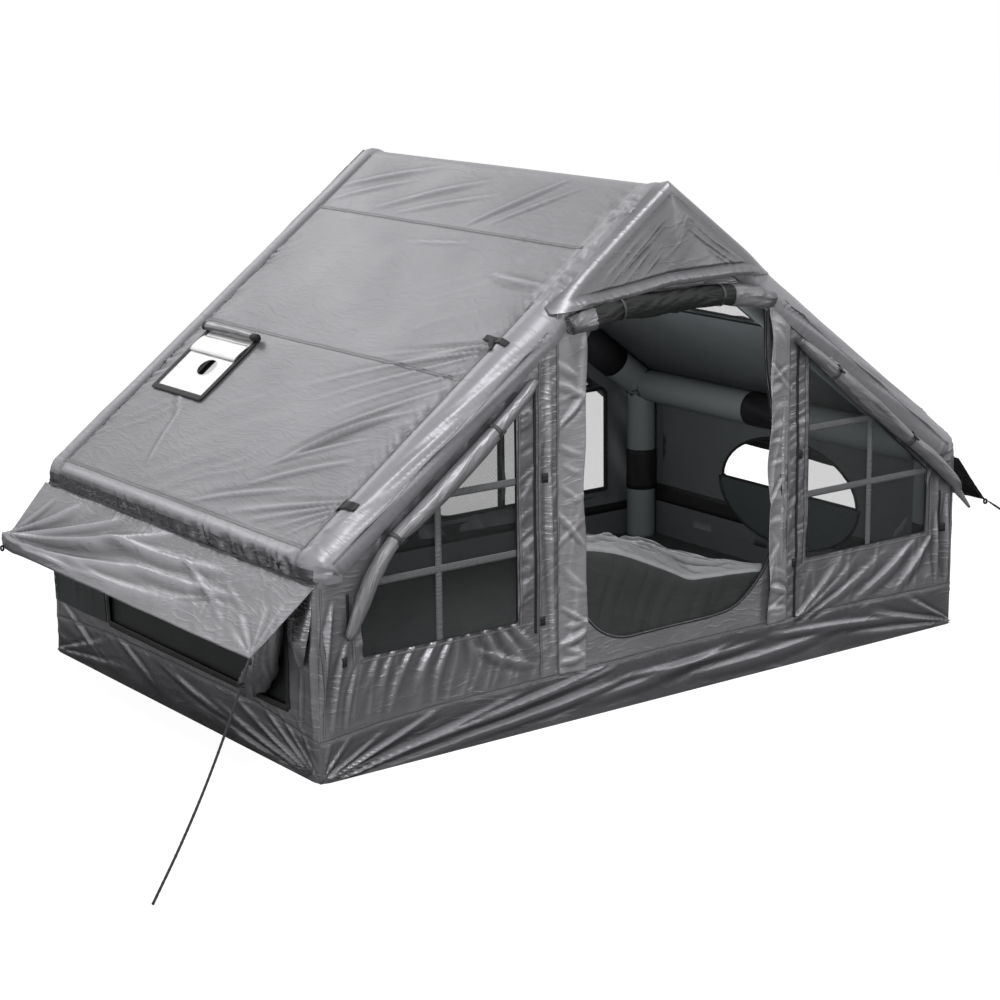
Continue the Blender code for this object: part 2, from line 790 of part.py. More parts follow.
roll_resolution = 6
tie_width_share = 0.2
upper_tie_x = 0.810
lower_tie_x = 1.235
front_roll = [
    (-0.630, 1.290, 0.016), (-0.720, 1.212, 0.024), (-0.815, 1.134, 0.026), (-0.900, 1.068, 0.030),
    (-1.030, 0.973, 0.031), (-1.160, 0.877, 0.028), (-1.245, 0.815, 0.024), (-1.330, 0.715, 0.027),
    (-1.385, 0.610, 0.025), (-1.430, 0.500, 0.014),
]
front_roll_right = [
    (0.630, 1.290, 0.017), (0.720, 1.220, 0.024), (0.815, 1.148, 0.026), (0.900, 1.080, 0.030),
    (1.030, 0.980, 0.031), (1.160, 0.884, 0.028), (1.245, 0.820, 0.025), (1.350, 0.742, 0.028),
    (1.480, 0.632, 0.024), (1.560, 0.560, 0.015), (1.640, 0.482, 0.006),
]
for hand, points in (("left", front_roll), ("right", front_roll_right)):
    side = math.copysign(1.0, points[0][0])
    spots = cover_roll(f"front_cover_roll_{hand}", points, on_front, 15, "wall cloth")
    tie_at(f"front_cover_tie_upper_{hand}", spots, side * upper_tie_x)
    tie_at(f"front_cover_tie_lower_{hand}", spots, side * lower_tie_x)

back_roll = [
    (0.180, 1.545, 0.015), (0.300, 1.470, 0.024), (0.600, 1.245, 0.030),
    (0.950, 0.985, 0.029), (1.240, 0.770, 0.024), (1.370, 0.650, 0.013),
]
side_roll = [
    (-0.790, 0.600, 0.009), (-0.780, 0.520, 0.022), (-0.745, 0.420, 0.036),
    (-0.690, 0.330, 0.042), (-0.610, 0.265, 0.034), (-0.545, 0.240, 0.018),
]
for hand, side in (("left", -1), ("right", 1)):
    cover_roll(
        f"back_cover_roll_{hand}", [(side * x, z, radius) for x, z, radius in back_roll],
        on_back, 10, "wall cloth", tied=False,
    )
    cover_roll(
        f"side_cover_roll_{hand}", side_roll, functools.partial(on_side, side),
        9, "wall cloth", tied=False,
    )

# Door: rolled up under the gable, with two ties, its zip, and two storm flaps beside the way in.
door_roll = [
    (-0.485, 1.466, 0.030), (-0.400, 1.486, 0.036), (-0.270, 1.508, 0.036), (-0.150, 1.510, door_roll_radius),
    (0.060, 1.512, door_roll_radius), (0.200, 1.510, 0.036), (0.340, 1.494, 0.036), (0.462, 1.466, 0.031),
]
door_roll_spots = cover_roll("door_roll", door_roll, on_front, 14, "mesh")
tie_at("door_roll_tie_left", door_roll_spots, -0.270)
tie_at("door_roll_tie_right", door_roll_spots, 0.200)

zip_face = gap + zip_thickness
zip_outline = door_edge(zip_offset + zip_width, zip_top) + list(reversed(door_edge(zip_offset, zip_top)))
plate("door_zip", [zip_outline], on_front, -zip_face, -gap, "zip")

slider_rest = 0.670
slider_x = door_left - zip_offset - zip_width / 2
slider_outline = [
    (-0.006, 0.008), (-0.006, -0.008), (-0.003, -0.010), (-0.003, -0.036),
    (0.003, -0.036), (0.003, -0.010), (0.006, -0.008), (0.006, 0.008),
]
slider = plate(
    "door_zip_slider", [slider_outline],
    lambda a, b, d: on_front(slider_x + a, slider_rest + b, d),
    -zip_face - gap - 0.004, -zip_face - gap, "zip",
)
move_origin(slider, on_front(slider_x, slider_rest, -zip_face))

flap_bottom = 0.190
flap_top = 1.420
flap_rows = 16
flap_columns = 4
flap_lift = 0.020
flap_ripple = 0.003
flap_sewn_lift = gap + 0.0002
for hand, side, sewn, free in (("left", -1, -0.520, -0.412), ("right", 1, 0.600, 0.486)):
    rows = []
    for i in range(flap_rows + 1):
        share = i / flap_rows
        z = flap_top + (flap_bottom - flap_top) * share
        wave = 0.008 * math.sin(9.0 * share + 0.8) + 0.005 * math.sin(23.0 * share)
        edge = free + wave * math.sin(math.pi * share)
        row = []
        for k in range(flap_columns + 1):
            across = k / flap_columns
            lift = flap_sewn_lift + flap_lift * across ** 1.2
            lift += flap_ripple * across * (1.0 + math.sin(15.0 * share + 2.0 * across))
            row.append(on_front(sewn + (edge - sewn) * across, z, -lift))
        rows.append(row if side < 0 else list(reversed(row)))
    sheet(f"door_flap_{hand}", rows, fold_thickness, "wall cloth")

# Inner door panel: zipped into the lower part of the doorway, its upper part folded inwards.
fold_line = [
    Vector((-0.450, 0.665)), Vector((-0.330, 0.640)), Vector((-0.220, 0.606)), Vector((-0.100, 0.553)),
    Vector((0.020, 0.495)), Vector((0.110, 0.450)), Vector((0.200, 0.440)), Vector((0.320, 0.432)),
    Vector((0.490, 0.418)),
]
fold_points = along_curve(fold_line, 15)
panel_bottom = 0.200
panel_depth = cloth + gap + fold_thickness
fold_height = 0.012
fold_pleat = 0.006
fold_shape = ((0.110, 0.150), (0.060, 0.105), (0.022, 0.060), (0.004, 0.028), (0.000, 0.014))
fold_drop = fold_shape[0][0]
rows = []
for drop, reach in fold_shape:
    row = []
    for k, point in enumerate(fold_points):
        pleat = fold_pleat * math.sin(1.9 * k + 30.0 * reach) * drop / fold_drop
        row.append(on_front(point.x, point.y - drop + pleat, panel_depth + reach))
    rows.append(row)
rows.append([on_front(point.x, point.y - fold_height, panel_depth) for point in fold_points])
for share in (0.35, 0.70, 1.00):
    rows.append(
        [on_front(point.x, point.y + (panel_bottom - point.y) * share, panel_depth) for point in fold_points]
    )
sheet("inner_door_panel", rows, fold_thickness, "floor cloth")

# Gable visor: hangs from the front edge of the roof in front of the rolled door.
visor_left = -0.500
visor_right = 0.415
visor_hem = door_top + 0.068
visor_hem_rise = 0.014
visor_peak = ridge_peak_height - 0.054
visor_edge = 0.012
visor_depth = 0.052
visor_fold = 0.004
visor_columns = 16
visor_rows = 5
under_roof = 0.020
rows = []
for j in range(visor_rows + 1):
    down = j / visor_rows
    row = []
    for k in range(visor_columns + 1):
        across = k / visor_columns
        x = visor_left + (visor_right - visor_left) * across
        hem = visor_hem + visor_hem_rise * math.sin(math.pi * across)
        top = min(slope_height(x, under_roof), visor_peak)
        top = max(top, hem + visor_edge)
        belly = math.sin(math.pi * across) ** 0.7
        fold = visor_fold * math.sin(7.0 * math.pi * across) * down
        lift = flap_sewn_lift + (visor_depth + fold) * belly * down ** 0.9
        row.append(on_front(x, top + (hem - top) * down, -lift))
    rows.append(row)
sheet("gable_visor", rows, fold_thickness, "wall cloth")

# Side awnings: a strip along each eave, hinged on its seam and held out by the guy ropes.
awning_columns = 18
awning_rows = 4
awning_fold = 0.006
awning_sag = 0.010
hinge_height = roof_hem_height - cloth
for hand, side in (("left", -1), ("right", 1)):
    rows = []
    for j in range(awning_rows + 1):
        share = j / awning_rows
        half = awning_half_length + (awning_outer_half_length - awning_half_length) * share
        row = []
        for k in range(awning_columns + 1):
            along = 2.0 * k / awning_columns - 1.0
            slack = share * (1.0 - along * along)
            fold = awning_fold * math.sin(5.5 * math.pi * along) * slack
            x = half_width + hinge_offset + awning_reach * share
            z = hinge_height - awning_drop * share + fold - awning_sag * slack
            row.append(Vector((side * x, along * half, z)))
        rows.append(row if side > 0 else list(reversed(row)))
    awning = sheet(f"awning_{hand}", rows, awning_thickness, "roof cloth")
    move_origin(awning, Vector((side * (half_width + hinge_offset), 0.0, hinge_height)))

# Guy ropes: from under each awning corner down to the ground.
awning_tip_x = half_width + hinge_offset + awning_reach
awning_tip_z = hinge_height - awning_drop
rope_start = 0.0010
rope_hang = ((0.0, 0.0), (0.25, 0.75), (0.50, 1.00), (0.75, 0.70), (1.0, 0.0))
rope_start_radii = (0.0012, 0.0030)
for hand, side in (("left", -1), ("right", 1)):
    for end, corner_y, ground_y in (
        ("front", -awning_outer_half_length, -half_depth - rope_front_reach),
        ("back", awning_outer_half_length, half_depth + rope_back_reach),
    ):
        start = Vector((
            side * (awning_tip_x + rope_start), corner_y, awning_tip_z - rope_start + awning_thickness / 2
        ))
        finish = Vector((side * (half_width + rope_side_reach), ground_y, rope_end_height))
        route = [
            start.lerp(finish, share) - Vector((0.0, 0.0, sag * rope_sag))
            for share, sag in rope_hang
        ]
        length = sum((other - one).length for one, other in zip(route, route[1:]))
        spots = along_curve(route, int(length / (3 * rope_diameter)))
        radii = list(rope_start_radii) + [rope_diameter / 2] * (len(spots) - len(rope_start_radii))
        soft_tube(
            f"guy_rope_{end}_{hand}",
            [(spot.x, spot.y, max(spot.z, rope_end_height), radius) for spot, radius in zip(spots, radii)],
            "rope", resolution=2,
        )

# Stove-pipe panel, its folded flap and its rolled cover, on the left slope.
jack_outline = [
    (jack_top, jack_front), (jack_bottom, jack_front), (jack_bottom, jack_back), (jack_top, jack_back)
]
plate(
    "stove_jack_panel",
    [
        rounded(jack_outline, 0.020),
        circle(jack_hole_radius, 24, (jack_hole_down, jack_hole_middle)),
    ],
    functools.partial(on_slope, -1), gap, gap + jack_thickness, "jack cloth",
)
flap_low = gap + jack_thickness + gap
flap_outline = [
    (jack_flap_top, flap_low), (jack_flap_bottom - 0.004, flap_low), (jack_flap_bottom, flap_low + 0.004),
    (jack_flap_bottom - 0.004, flap_low + jack_flap_thickness), (jack_flap_top, flap_low + 0.005),
]
jack_flap = plate(
    "stove_jack_flap", [flap_outline],
    lambda a, b, d: on_slope(-1, a, d, b), jack_front + 0.010, jack_back - 0.010, "jack cloth",
)
move_origin(jack_flap, on_slope(-1, jack_flap_top - 0.003, (jack_front + jack_back) / 2, flap_low + 0.003))
roll_lift = gap + jack_thickness + gap + jack_roll_radius
jack_roll_spots = []
for y in (jack_front + 0.010, (jack_front + jack_back) / 2, jack_back + 0.020):
    spot = on_slope(-1, jack_roll_down, y, roll_lift)
    jack_roll_spots.append((spot.x, spot.y, spot.z, jack_roll_radius))
soft_tube("stove_jack_cover_roll", jack_roll_spots, "roof cloth", resolution=roll_resolution)
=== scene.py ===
"""Air-beam cabin tent: the cloth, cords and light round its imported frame.

Metres, +Z up, the ground at z = 0. X runs along the front wall, whose door faces -Y.
"""

import math
import random

import bpy
import numpy as np
from mathutils import Matrix, Vector
from mathutils.geometry import delaunay_2d_cdt


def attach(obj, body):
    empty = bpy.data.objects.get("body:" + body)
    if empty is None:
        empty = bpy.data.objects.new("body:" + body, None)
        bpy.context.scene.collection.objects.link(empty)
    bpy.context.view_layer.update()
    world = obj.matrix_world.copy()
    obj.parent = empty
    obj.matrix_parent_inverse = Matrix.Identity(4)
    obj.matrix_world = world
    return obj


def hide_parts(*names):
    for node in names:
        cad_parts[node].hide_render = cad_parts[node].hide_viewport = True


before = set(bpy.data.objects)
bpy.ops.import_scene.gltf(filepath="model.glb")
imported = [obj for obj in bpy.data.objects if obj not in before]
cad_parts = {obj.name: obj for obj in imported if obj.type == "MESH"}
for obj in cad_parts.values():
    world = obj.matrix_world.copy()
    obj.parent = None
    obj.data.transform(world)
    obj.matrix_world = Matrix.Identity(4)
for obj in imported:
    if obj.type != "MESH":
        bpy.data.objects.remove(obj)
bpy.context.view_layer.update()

# Camera: in front of the tent's left half and above the ridge, looking down at the door. Its place,
# turn and lens were worked out from the straight edges of the tent in the photograph.
camera_place = (-5.59872, -7.53877, 2.84879)
camera_yaw = 0.6354549
camera_pitch = 0.2376668
camera_roll = -0.0121659
focal_share = 2.388442

ahead = Vector((
    math.sin(camera_yaw) * math.cos(camera_pitch),
    math.cos(camera_yaw) * math.cos(camera_pitch),
    -math.sin(camera_pitch),
))
level_right = Vector((math.cos(camera_yaw), -math.sin(camera_yaw), 0.0))
level_up = level_right.cross(ahead)
camera_right = level_right * math.cos(camera_roll) + level_up * math.sin(camera_roll)
camera_up = level_up * math.cos(camera_roll) - level_right * math.sin(camera_roll)
camera_data = bpy.data.cameras.new("camera")
camera_data.sensor_width = 36.0
camera_data.lens = focal_share * camera_data.sensor_width
camera_data.clip_end = 100.0
camera = bpy.data.objects.new("camera", camera_data)
camera.matrix_world = Matrix.Translation(camera_place) @ Matrix(
    (camera_right, camera_up, -ahead)
).transposed().to_4x4()
bpy.context.scene.collection.objects.link(camera)
bpy.context.scene.camera = camera

# Guy ropes: dark braided cord, tied into a loop of webbing under each awning corner. Their far ends
# lie on the ground, cut square and sealed.
rope_diameter = 0.009
rope_sag = 0.045
rope_points = 90
rope_dark = (0.012, 0.012, 0.013)
rope_light = (0.036, 0.036, 0.039)
rope_end_x, rope_end_z = 2.494, 0.006
rope_end_y = {"front": -1.556, "back": 1.300}
knot_reach = 0.115
knot_size = 0.0042
knot_cord = 0.0040
hands = (("left", -1), ("right", 1))
ends = (("front", -1), ("back", 1))


def add_group(name, inputs, outputs):
    """A shader group with named sockets, and its first and last node."""
    group = bpy.data.node_groups.new(name, "ShaderNodeTree")
    for label, kind, value in inputs:
        socket = group.interface.new_socket(label, in_out="INPUT", socket_type="NodeSocket" + kind)
        if value is not None:
            socket.default_value = value
    for label, kind in outputs:
        group.interface.new_socket(label, in_out="OUTPUT", socket_type="NodeSocket" + kind)
    return group, group.nodes.new("NodeGroupInput"), group.nodes.new("NodeGroupOutput")


def feed(tree, socket, value):
    """Link a socket to another one, or set it to a plain value."""
    if isinstance(value, bpy.types.NodeSocket):
        tree.links.new(value, socket)
    else:
        socket.default_value = value


def wire(tree, kind, settings=None, **sockets):
    """A node with its sockets fed. `_` in a socket's name is a space, and i0 or i1 is its place."""
    node = tree.nodes.new("ShaderNode" + kind)
    for key, value in (settings or {}).items():
        setattr(node, key, value)
    for key, value in sockets.items():
        feed(tree, node.inputs[int(key[1:]) if key[1:].isdigit() else key.replace("_", " ")], value)
    return node


def calc(tree, operation, *values):
    """The result of one Math node."""
    node = wire(tree, "Math", {"operation": operation})
    for socket, value in zip(node.inputs, values):
        feed(tree, socket, value)
    return node.outputs[0]


def use_group(tree, group, **sockets):
    """A shader group placed in a material, with its own values."""
    return wire(tree, "Group", {"node_tree": group}, **sockets)


def blank_look(name, **constants):
    """A material, its node tree and its shader, whose plain sockets are set."""
    look = bpy.data.materials.new(name)
    look.use_nodes = True
    tree = look.node_tree
    shader = tree.nodes["Principled BSDF"]
    for key, value in constants.items():
        shader.inputs[key.replace("_", " ")].default_value = value
    return look, tree, shader


def two_tone(tree, factor, dark, light):
    """A colour between two, by a factor that changes over the surface."""
    mix = wire(tree, "Mix", {"data_type": "RGBA"}, Factor=factor)
    for label, colour in (("A", dark), ("B", light)):
        feed(tree, mix.inputs[label], colour if isinstance(colour, bpy.types.NodeSocket) else (*colour, 1.0))
    return mix.outputs["Result"]


def flat_map(tree):
    """The cloth's own coordinates, in metres over the flat cut."""
    return wire(tree, "UVMap", {"uv_map": "cut"}).outputs["UV"]


# Braid, from the cord's own coordinates: x metres along it and y metres round it.
braid, given, made = add_group(
    "braid", [("Cord", "Vector", None), ("Pitch", "Float", 0.006)], [("Height", "Float"), ("Shade", "Float")]
)
parts = wire(braid, "SeparateXYZ", Vector=given.outputs["Cord"])
waves = []
for slant in ("ADD", "SUBTRACT"):
    turns = calc(braid, "DIVIDE", calc(braid, slant, *parts.outputs[:2]), given.outputs["Pitch"])
    waves.append(calc(braid, "SINE", calc(braid, "MULTIPLY", turns, 2 * math.pi)))
strands = calc(braid, "MULTIPLY_ADD", calc(braid, "MULTIPLY", *waves), 0.5, 0.5)
fuzz = wire(braid, "TexNoise", Vector=given.outputs["Cord"], Scale=900.0, Detail=2.0)
shade = calc(braid, "MULTIPLY_ADD", fuzz.outputs["Fac"], 0.35, calc(braid, "MULTIPLY", strands, 0.7))
braid.links.new(strands, made.inputs["Height"])
braid.links.new(shade, made.inputs["Shade"])


def braided_look(name, dark, light, pitch, roughness):
    """Cord that is braided at this pitch, darker between its strands."""
    look, tree, shader = blank_look(name, Roughness=roughness)
    cord = use_group(tree, braid, Cord=flat_map(tree), Pitch=pitch)
    tree.links.new(two_tone(tree, cord.outputs["Shade"], dark, light), shader.inputs["Base Color"])
    bump = wire(tree, "Bump", Strength=0.8, Distance=pitch * 0.15, Height=cord.outputs["Height"])
    tree.links.new(bump.outputs["Normal"], shader.inputs["Normal"])
    return look


rope_look = braided_look("rope braid", rope_dark, rope_light, 0.007, 0.75)


def hollows(mesh, points):
    """How deep each point lies in the small and the wide hollows of its piece, below zero on a crest. The cloth
    materials paint shade into the hollows and a highlight onto the crests from it.
    """
    ends = np.zeros(2 * len(mesh.edges), np.int32)
    mesh.edges.foreach_get("vertices", ends)
    ends = ends.reshape(-1, 2)
    out = np.zeros(3 * len(points))
    mesh.vertices.foreach_get("normal", out)
    step = np.median(np.linalg.norm(points[ends[:, 0]] - points[ends[:, 1]], axis=1))
    pairs = np.concatenate([ends, ends[:, ::-1]])
    near = np.maximum(np.bincount(pairs[:, 0], minlength=len(points)), 1)[:, None]
    level = points
    total = np.zeros(len(points))
    for reach, height in ((0.034, 0.0030), (0.090, 0.0100)):
        for _ in range(int(np.clip((reach / step) ** 2, 2, 150))):
            beside = [np.bincount(pairs[:, 0], level[pairs[:, 1], axis], len(points)) for axis in range(3)]
            level = 0.5 * level + 0.5 * np.stack(beside, 1) / near
        deep = ((level - points) * out.reshape(-1, 3)).sum(1)
        total += np.clip((deep - np.median(deep)) / height, -1, 1)
    return np.clip(total, -1.3, 1.3)


def add_piece(name, points, faces, spread, looks, slot, body="cabin", which=None):
    """A mesh piece from arrays of points and faces. `spread` holds each point's place on the flat cut."""
    mesh = bpy.data.meshes.new(name)
    mesh.from_pydata(np.asarray(points).tolist(), [], [list(face) for face in faces])
    corners = np.zeros(len(mesh.loops), np.int32)
    mesh.loops.foreach_get("vertex_index", corners)
    layer = mesh.uv_layers.new(name="cut")
    layer.uv.foreach_set("vector", np.asarray(spread, np.float32)[corners].ravel())
    for look in looks if isinstance(looks, list) else [looks]:
        mesh.materials.append(look)
    if which is not None:
        mesh.polygons.foreach_set("material_index", np.asarray(which, np.int32))
    mesh.shade_smooth()
    # How deep each point lies in its folds, from which the cloth materials paint shade and highlight.
    deep = mesh.attributes.new("hollow", "FLOAT", "POINT")
    deep.data.foreach_set("value", hollows(mesh, np.asarray(points, float)))
    piece = bpy.data.objects.new(name, mesh)
    bpy.context.scene.collection.objects.link(piece)
    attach(piece, body)
    return piece


def smooth_line(points, count):
    """`count` evenly spaced points on a smooth curve through the given ones, in any dimension."""
    points = np.asarray(points, float)
    ends = np.vstack([2 * points[0] - points[1], points, 2 * points[-1] - points[-2]])
    t = (np.arange(24) / 24)[:, None]
    fine = []
    for a, b, c, d in zip(ends, ends[1:], ends[2:], ends[3:]):
        fine.append(
            b + (c - a) * (t / 2) + (2 * a - 5 * b + 4 * c - d) * (t * t / 2)
            + (3 * b - a - 3 * c + d) * (t ** 3 / 2)
        )
    fine = np.vstack(fine + [points[-1:]])
    reach = np.concatenate([[0.0], np.cumsum(np.linalg.norm(np.diff(fine[:, :3], axis=0), axis=1))])
    wanted = np.linspace(0.0, reach[-1], count)
    return np.stack([np.interp(wanted, reach, column) for column in fine.T], 1)


def sides_of(points):
    """Two directions square to each point's run, turning as little as they can along the line."""
    runs = np.gradient(points, axis=0)
    runs /= np.linalg.norm(runs, axis=1)[:, None]
    first = np.cross(runs[0], (0.0, 0.0, 1.0))
    if np.linalg.norm(first) < 0.1:
        first = np.cross(runs[0], (0.0, 1.0, 0.0))
    across = [first / np.linalg.norm(first)]
    for run in runs[1:]:
        side = across[-1] - run * across[-1].dot(run)
        across.append(side / np.linalg.norm(side))
    across = np.array(across)
    return across, np.cross(across, runs)


def tube_mesh(points, radii, sides, bulge=None):
    """Points, faces and flat places of a closed round tube. `bulge(along, angle)` is added to its radius."""
    points = np.asarray(points, float)
    across, out = sides_of(points)
    along = np.concatenate([[0.0], np.cumsum(np.linalg.norm(np.diff(points, axis=0), axis=1))])
    angle = 2 * np.pi * np.arange(sides) / sides
    radii = np.broadcast_to(np.asarray(radii, float), (len(points),))
    reach = np.repeat(radii[:, None], sides, 1)
    if bulge:
        reach = reach + bulge(along[:, None], angle[None, :])
    skin = points[:, None] + reach[..., None] * (
        across[:, None] * np.cos(angle)[None, :, None] + out[:, None] * np.sin(angle)[None, :, None]
    )
    spread = np.stack(np.broadcast_arrays(along[:, None], (angle * radii.max())[None, :]), -1)
    rows = np.arange(len(points) - 1)[:, None] * sides
    k = np.arange(sides)[None, :]
    faces = np.stack([
        rows + k, rows + (k + 1) % sides, rows + sides + (k + 1) % sides, rows + sides + k,
    ], -1).reshape(-1, 4).tolist()
    first = len(points) * sides
    caps = [[first, (i + 1) % sides, i] for i in range(sides)]
    last = (len(points) - 1) * sides
    caps += [[first + 1, last + i, last + (i + 1) % sides] for i in range(sides)]
    ends = points[[0, -1]]
    end_spread = np.array([[along[0], 0.0], [along[-1], 0.0]])
    return (
        np.vstack([skin.reshape(-1, 3), ends]), faces + caps,
        np.vstack([spread.reshape(-1, 2), end_spread]),
    )


def add_tube(name, points, radii, look, sides=12, bulge=None, **facts):
    """A round piece along a line of points."""
    skin, faces, spread = tube_mesh(points, radii, sides, bulge)
    return add_piece(name, skin, faces, spread, look, **facts)


hinge_x, hinge_z = 1.5506, 0.697
awning_reach, awning_drop, awning_half = 0.2267, 0.2170, 0.950
tip_gap, tip_rise = 0.0010, 0.00025
# How a rope hangs below a straight line: shares of its way, with shares of its sag.
hang = ((0.0, 0.0), (0.25, 0.75), (0.50, 1.00), (0.75, 0.70), (1.0, 0.0))
rope_exits = {}
for hand, side in hands:
    for end, way in ends:
        start = np.array([
            side * (hinge_x + awning_reach + tip_gap), way * awning_half, hinge_z - awning_drop + tip_rise,
        ])
        finish = np.array([side * rope_end_x, rope_end_y[end], rope_end_z])
        route = smooth_line(
            [start + (finish - start) * share - (0.0, 0.0, sag * rope_sag) for share, sag in hang],
            rope_points
        )
        route[:, 2] = np.maximum(route[:, 2], rope_end_z)
        reach = np.cumsum(np.linalg.norm(np.diff(route, axis=0), axis=1))
        length = float(np.linalg.norm(np.diff(route, axis=0), axis=1).sum())
        thin = np.interp(np.linspace(0.0, length, rope_points), [0.0, 0.015, 0.04], [0.30, 0.55, 1.0])
        rope = add_tube(
            f"guy_rope_{end}_{hand}_cord", route, thin * rope_diameter / 2, rope_look,
            bulge=lambda along, angle: 0.00035 * np.sin(2 * angle + along * 2 * np.pi / 0.030),
            body=f"guy_rope_{end}_{hand}", slot="rope_fibre",
        )
        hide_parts(f"guy_rope_{end}_{hand}")

        # The knot: an overhand loop, drawn tight round the rope.
        turn = np.linspace(0.0, 2 * np.pi, 61)[:-1]
        knot = np.stack([
            np.sin(turn) + 2 * np.sin(2 * turn), np.cos(turn) - 2 * np.cos(2 * turn), -1.3 * np.sin(3 * turn),
        ], 1) * knot_size
        at = int(np.searchsorted(reach, knot_reach))
        run = Vector(route[at + 1] - route[at - 1]).normalized()
        turned = Vector((0.0, 0.0, 1.0)).rotation_difference(run).to_matrix()
        knot = np.array([turned @ Vector(spot) for spot in knot]) + route[at]
        tied = add_tube(
            f"guy_knot_{end}_{hand}", np.vstack([knot, knot[:1]]), knot_cord, rope_look, sides=10,
            body=f"guy_rope_{end}_{hand}", slot="rope_fibre",
        )
        rope_exits[end, hand] = start

# Studio: not a part of the tent, but a plain pale floor and a white background. Soft light falls from
# above and from the front left.
floor_light = 0.40
floor_glow = 0.92
floor_half = 30.0
floor_level = -0.0008
sky_level = 0.20
lamps = (
    ("key lamp", (-3.8, -6.8, 13.2), (0.1, -0.2, 0.8), (2.4, 2.4), 800.0),
    ("fill lamp", (7.5, -8.5, 4.0), (0.0, -0.6, 0.6), (3.0, 2.4), 55.0),
    ("front lamp", (-2.5, -11.0, 3.2), (-0.6, -1.0, 0.9), (2.6, 1.8), 125.0),
    ("back lamp", (-0.9, 8.5, 7.3), (-0.4, 0.2, 1.2), (5.0, 2.4), 120.0),
    ("side lamp", (-9.5, -1.6, 2.4), (-1.5, 0.0, 0.5), (2.2, 1.6), 35.0),
    ("lamp inside", (0.15, -0.25, 0.95), (0.0, 0.0, 0.0), None, 54.0),
)

scene = bpy.context.scene
scene.view_settings.view_transform = "Standard"
world = bpy.data.worlds.new("studio")
scene.world = world
world.use_nodes = True
sky = world.node_tree
sky.nodes.clear()
rays = sky.nodes.new("ShaderNodeLightPath")
seen = calc(
    sky, "MAXIMUM", rays.outputs["Is Camera Ray"],
    calc(sky, "MAXIMUM", rays.outputs["Is Glossy Ray"], rays.outputs["Is Transmission Ray"]),
)
dim = wire(sky, "Background", Color=(1.0, 1.0, 1.0, 1.0), Strength=sky_level)
white = wire(sky, "Background", Color=(1.0, 1.0, 1.0, 1.0), Strength=1.0)
either = wire(sky, "MixShader", Fac=seen, i1=dim.outputs[0], i2=white.outputs[0])
out = sky.nodes.new("ShaderNodeOutputWorld")
sky.links.new(either.outputs[0], out.inputs["Surface"])

for name, place, aim, size, power in lamps:
    lamp_data = bpy.data.lights.new(name, "AREA" if size else "POINT")
    if size:
        lamp_data.shape = "RECTANGLE"
        lamp_data.size, lamp_data.size_y = size
    else:
        lamp_data.shadow_soft_size = 0.30
    lamp_data.energy = power
    lamp = bpy.data.objects.new(name, lamp_data)
    lamp.location = place
    lamp.rotation_euler = (Vector(aim) - Vector(place)).to_track_quat("-Z", "Y").to_euler()
    lamp.visible_camera = False
    lamp.visible_glossy = name != "lamp inside"
    scene.collection.objects.link(lamp)

floor_mesh = bpy.data.meshes.new("studio_floor")
floor_mesh.from_pydata(
    [(x * floor_half, y * floor_half, floor_level) for x, y in ((-1, -1), (1, -1), (1, 1), (-1, 1))],
    [], [(0, 1, 2, 3)],
)
floor = bpy.data.objects.new("studio_floor", floor_mesh)
scene.collection.objects.link(floor)
floor_look = bpy.data.materials.new("pale floor")
floor_look.use_nodes = True
tree = floor_look.node_tree
tree.nodes.clear()
matt = wire(tree, "BsdfDiffuse", Color=(floor_light, floor_light, floor_light, 1.0))
glow = wire(tree, "Emission", Color=(1.0, 1.0, 1.0, 1.0))
rays = tree.nodes.new("ShaderNodeLightPath")
tree.links.new(calc(tree, "MULTIPLY", rays.outputs["Is Camera Ray"], floor_glow), glow.inputs["Strength"])
both = wire(tree, "AddShader", i0=matt.outputs[0], i1=glow.outputs[0])
out = tree.nodes.new("ShaderNodeOutputMaterial")
tree.links.new(both.outputs[0], out.inputs["Surface"])
floor_mesh.materials.append(floor_look)

# Air frame: two arches of coated cloth over air bladders, each welded from short straight runs at its
# bends, with a ridge beam and two eave beams between them.
half_width = 1.55
half_depth = 1.00
peak = 1.932
eave_z = 0.738
beam_radius = 0.075
leg_radius = 0.068
ridge_radius = 0.060
cloth = 0.003
gap = 0.0003
wrap = beam_radius + gap + cloth
ridge_wrap = ridge_radius + gap + cloth
eave_x = half_width - wrap
slope = math.acos(wrap / math.hypot(eave_x, peak - eave_z)) - math.atan2(eave_x, peak - eave_z)
arch_y = half_depth - cloth - gap - beam_radius
ridge_z = peak - ridge_wrap / math.cos(slope)
arch_top = peak - wrap / math.cos(slope)
bend_radius = 0.085
bend_runs = 5
beam_half = 0.875
skin_gap = 0.0005
beam_light = (0.128, 0.142, 0.144)
beam_dark = (0.082, 0.092, 0.094)

# Weave: over and under threads, at any pitch.
weave, given, made = add_group(
    "weave", [("Cloth", "Vector", None), ("Pitch", "Float", 0.0012)], [("Height", "Float")]
)
parts = wire(weave, "SeparateXYZ", Vector=given.outputs["Cloth"])
threads = [
    calc(weave, "SINE", calc(weave, "MULTIPLY", calc(weave, "DIVIDE", way, given.outputs["Pitch"]), math.pi))
    for way in parts.outputs[:2]
]
weave.links.new(
    calc(weave, "MULTIPLY_ADD", calc(weave, "MULTIPLY", *threads), 0.5, 0.5), made.inputs["Height"]
)

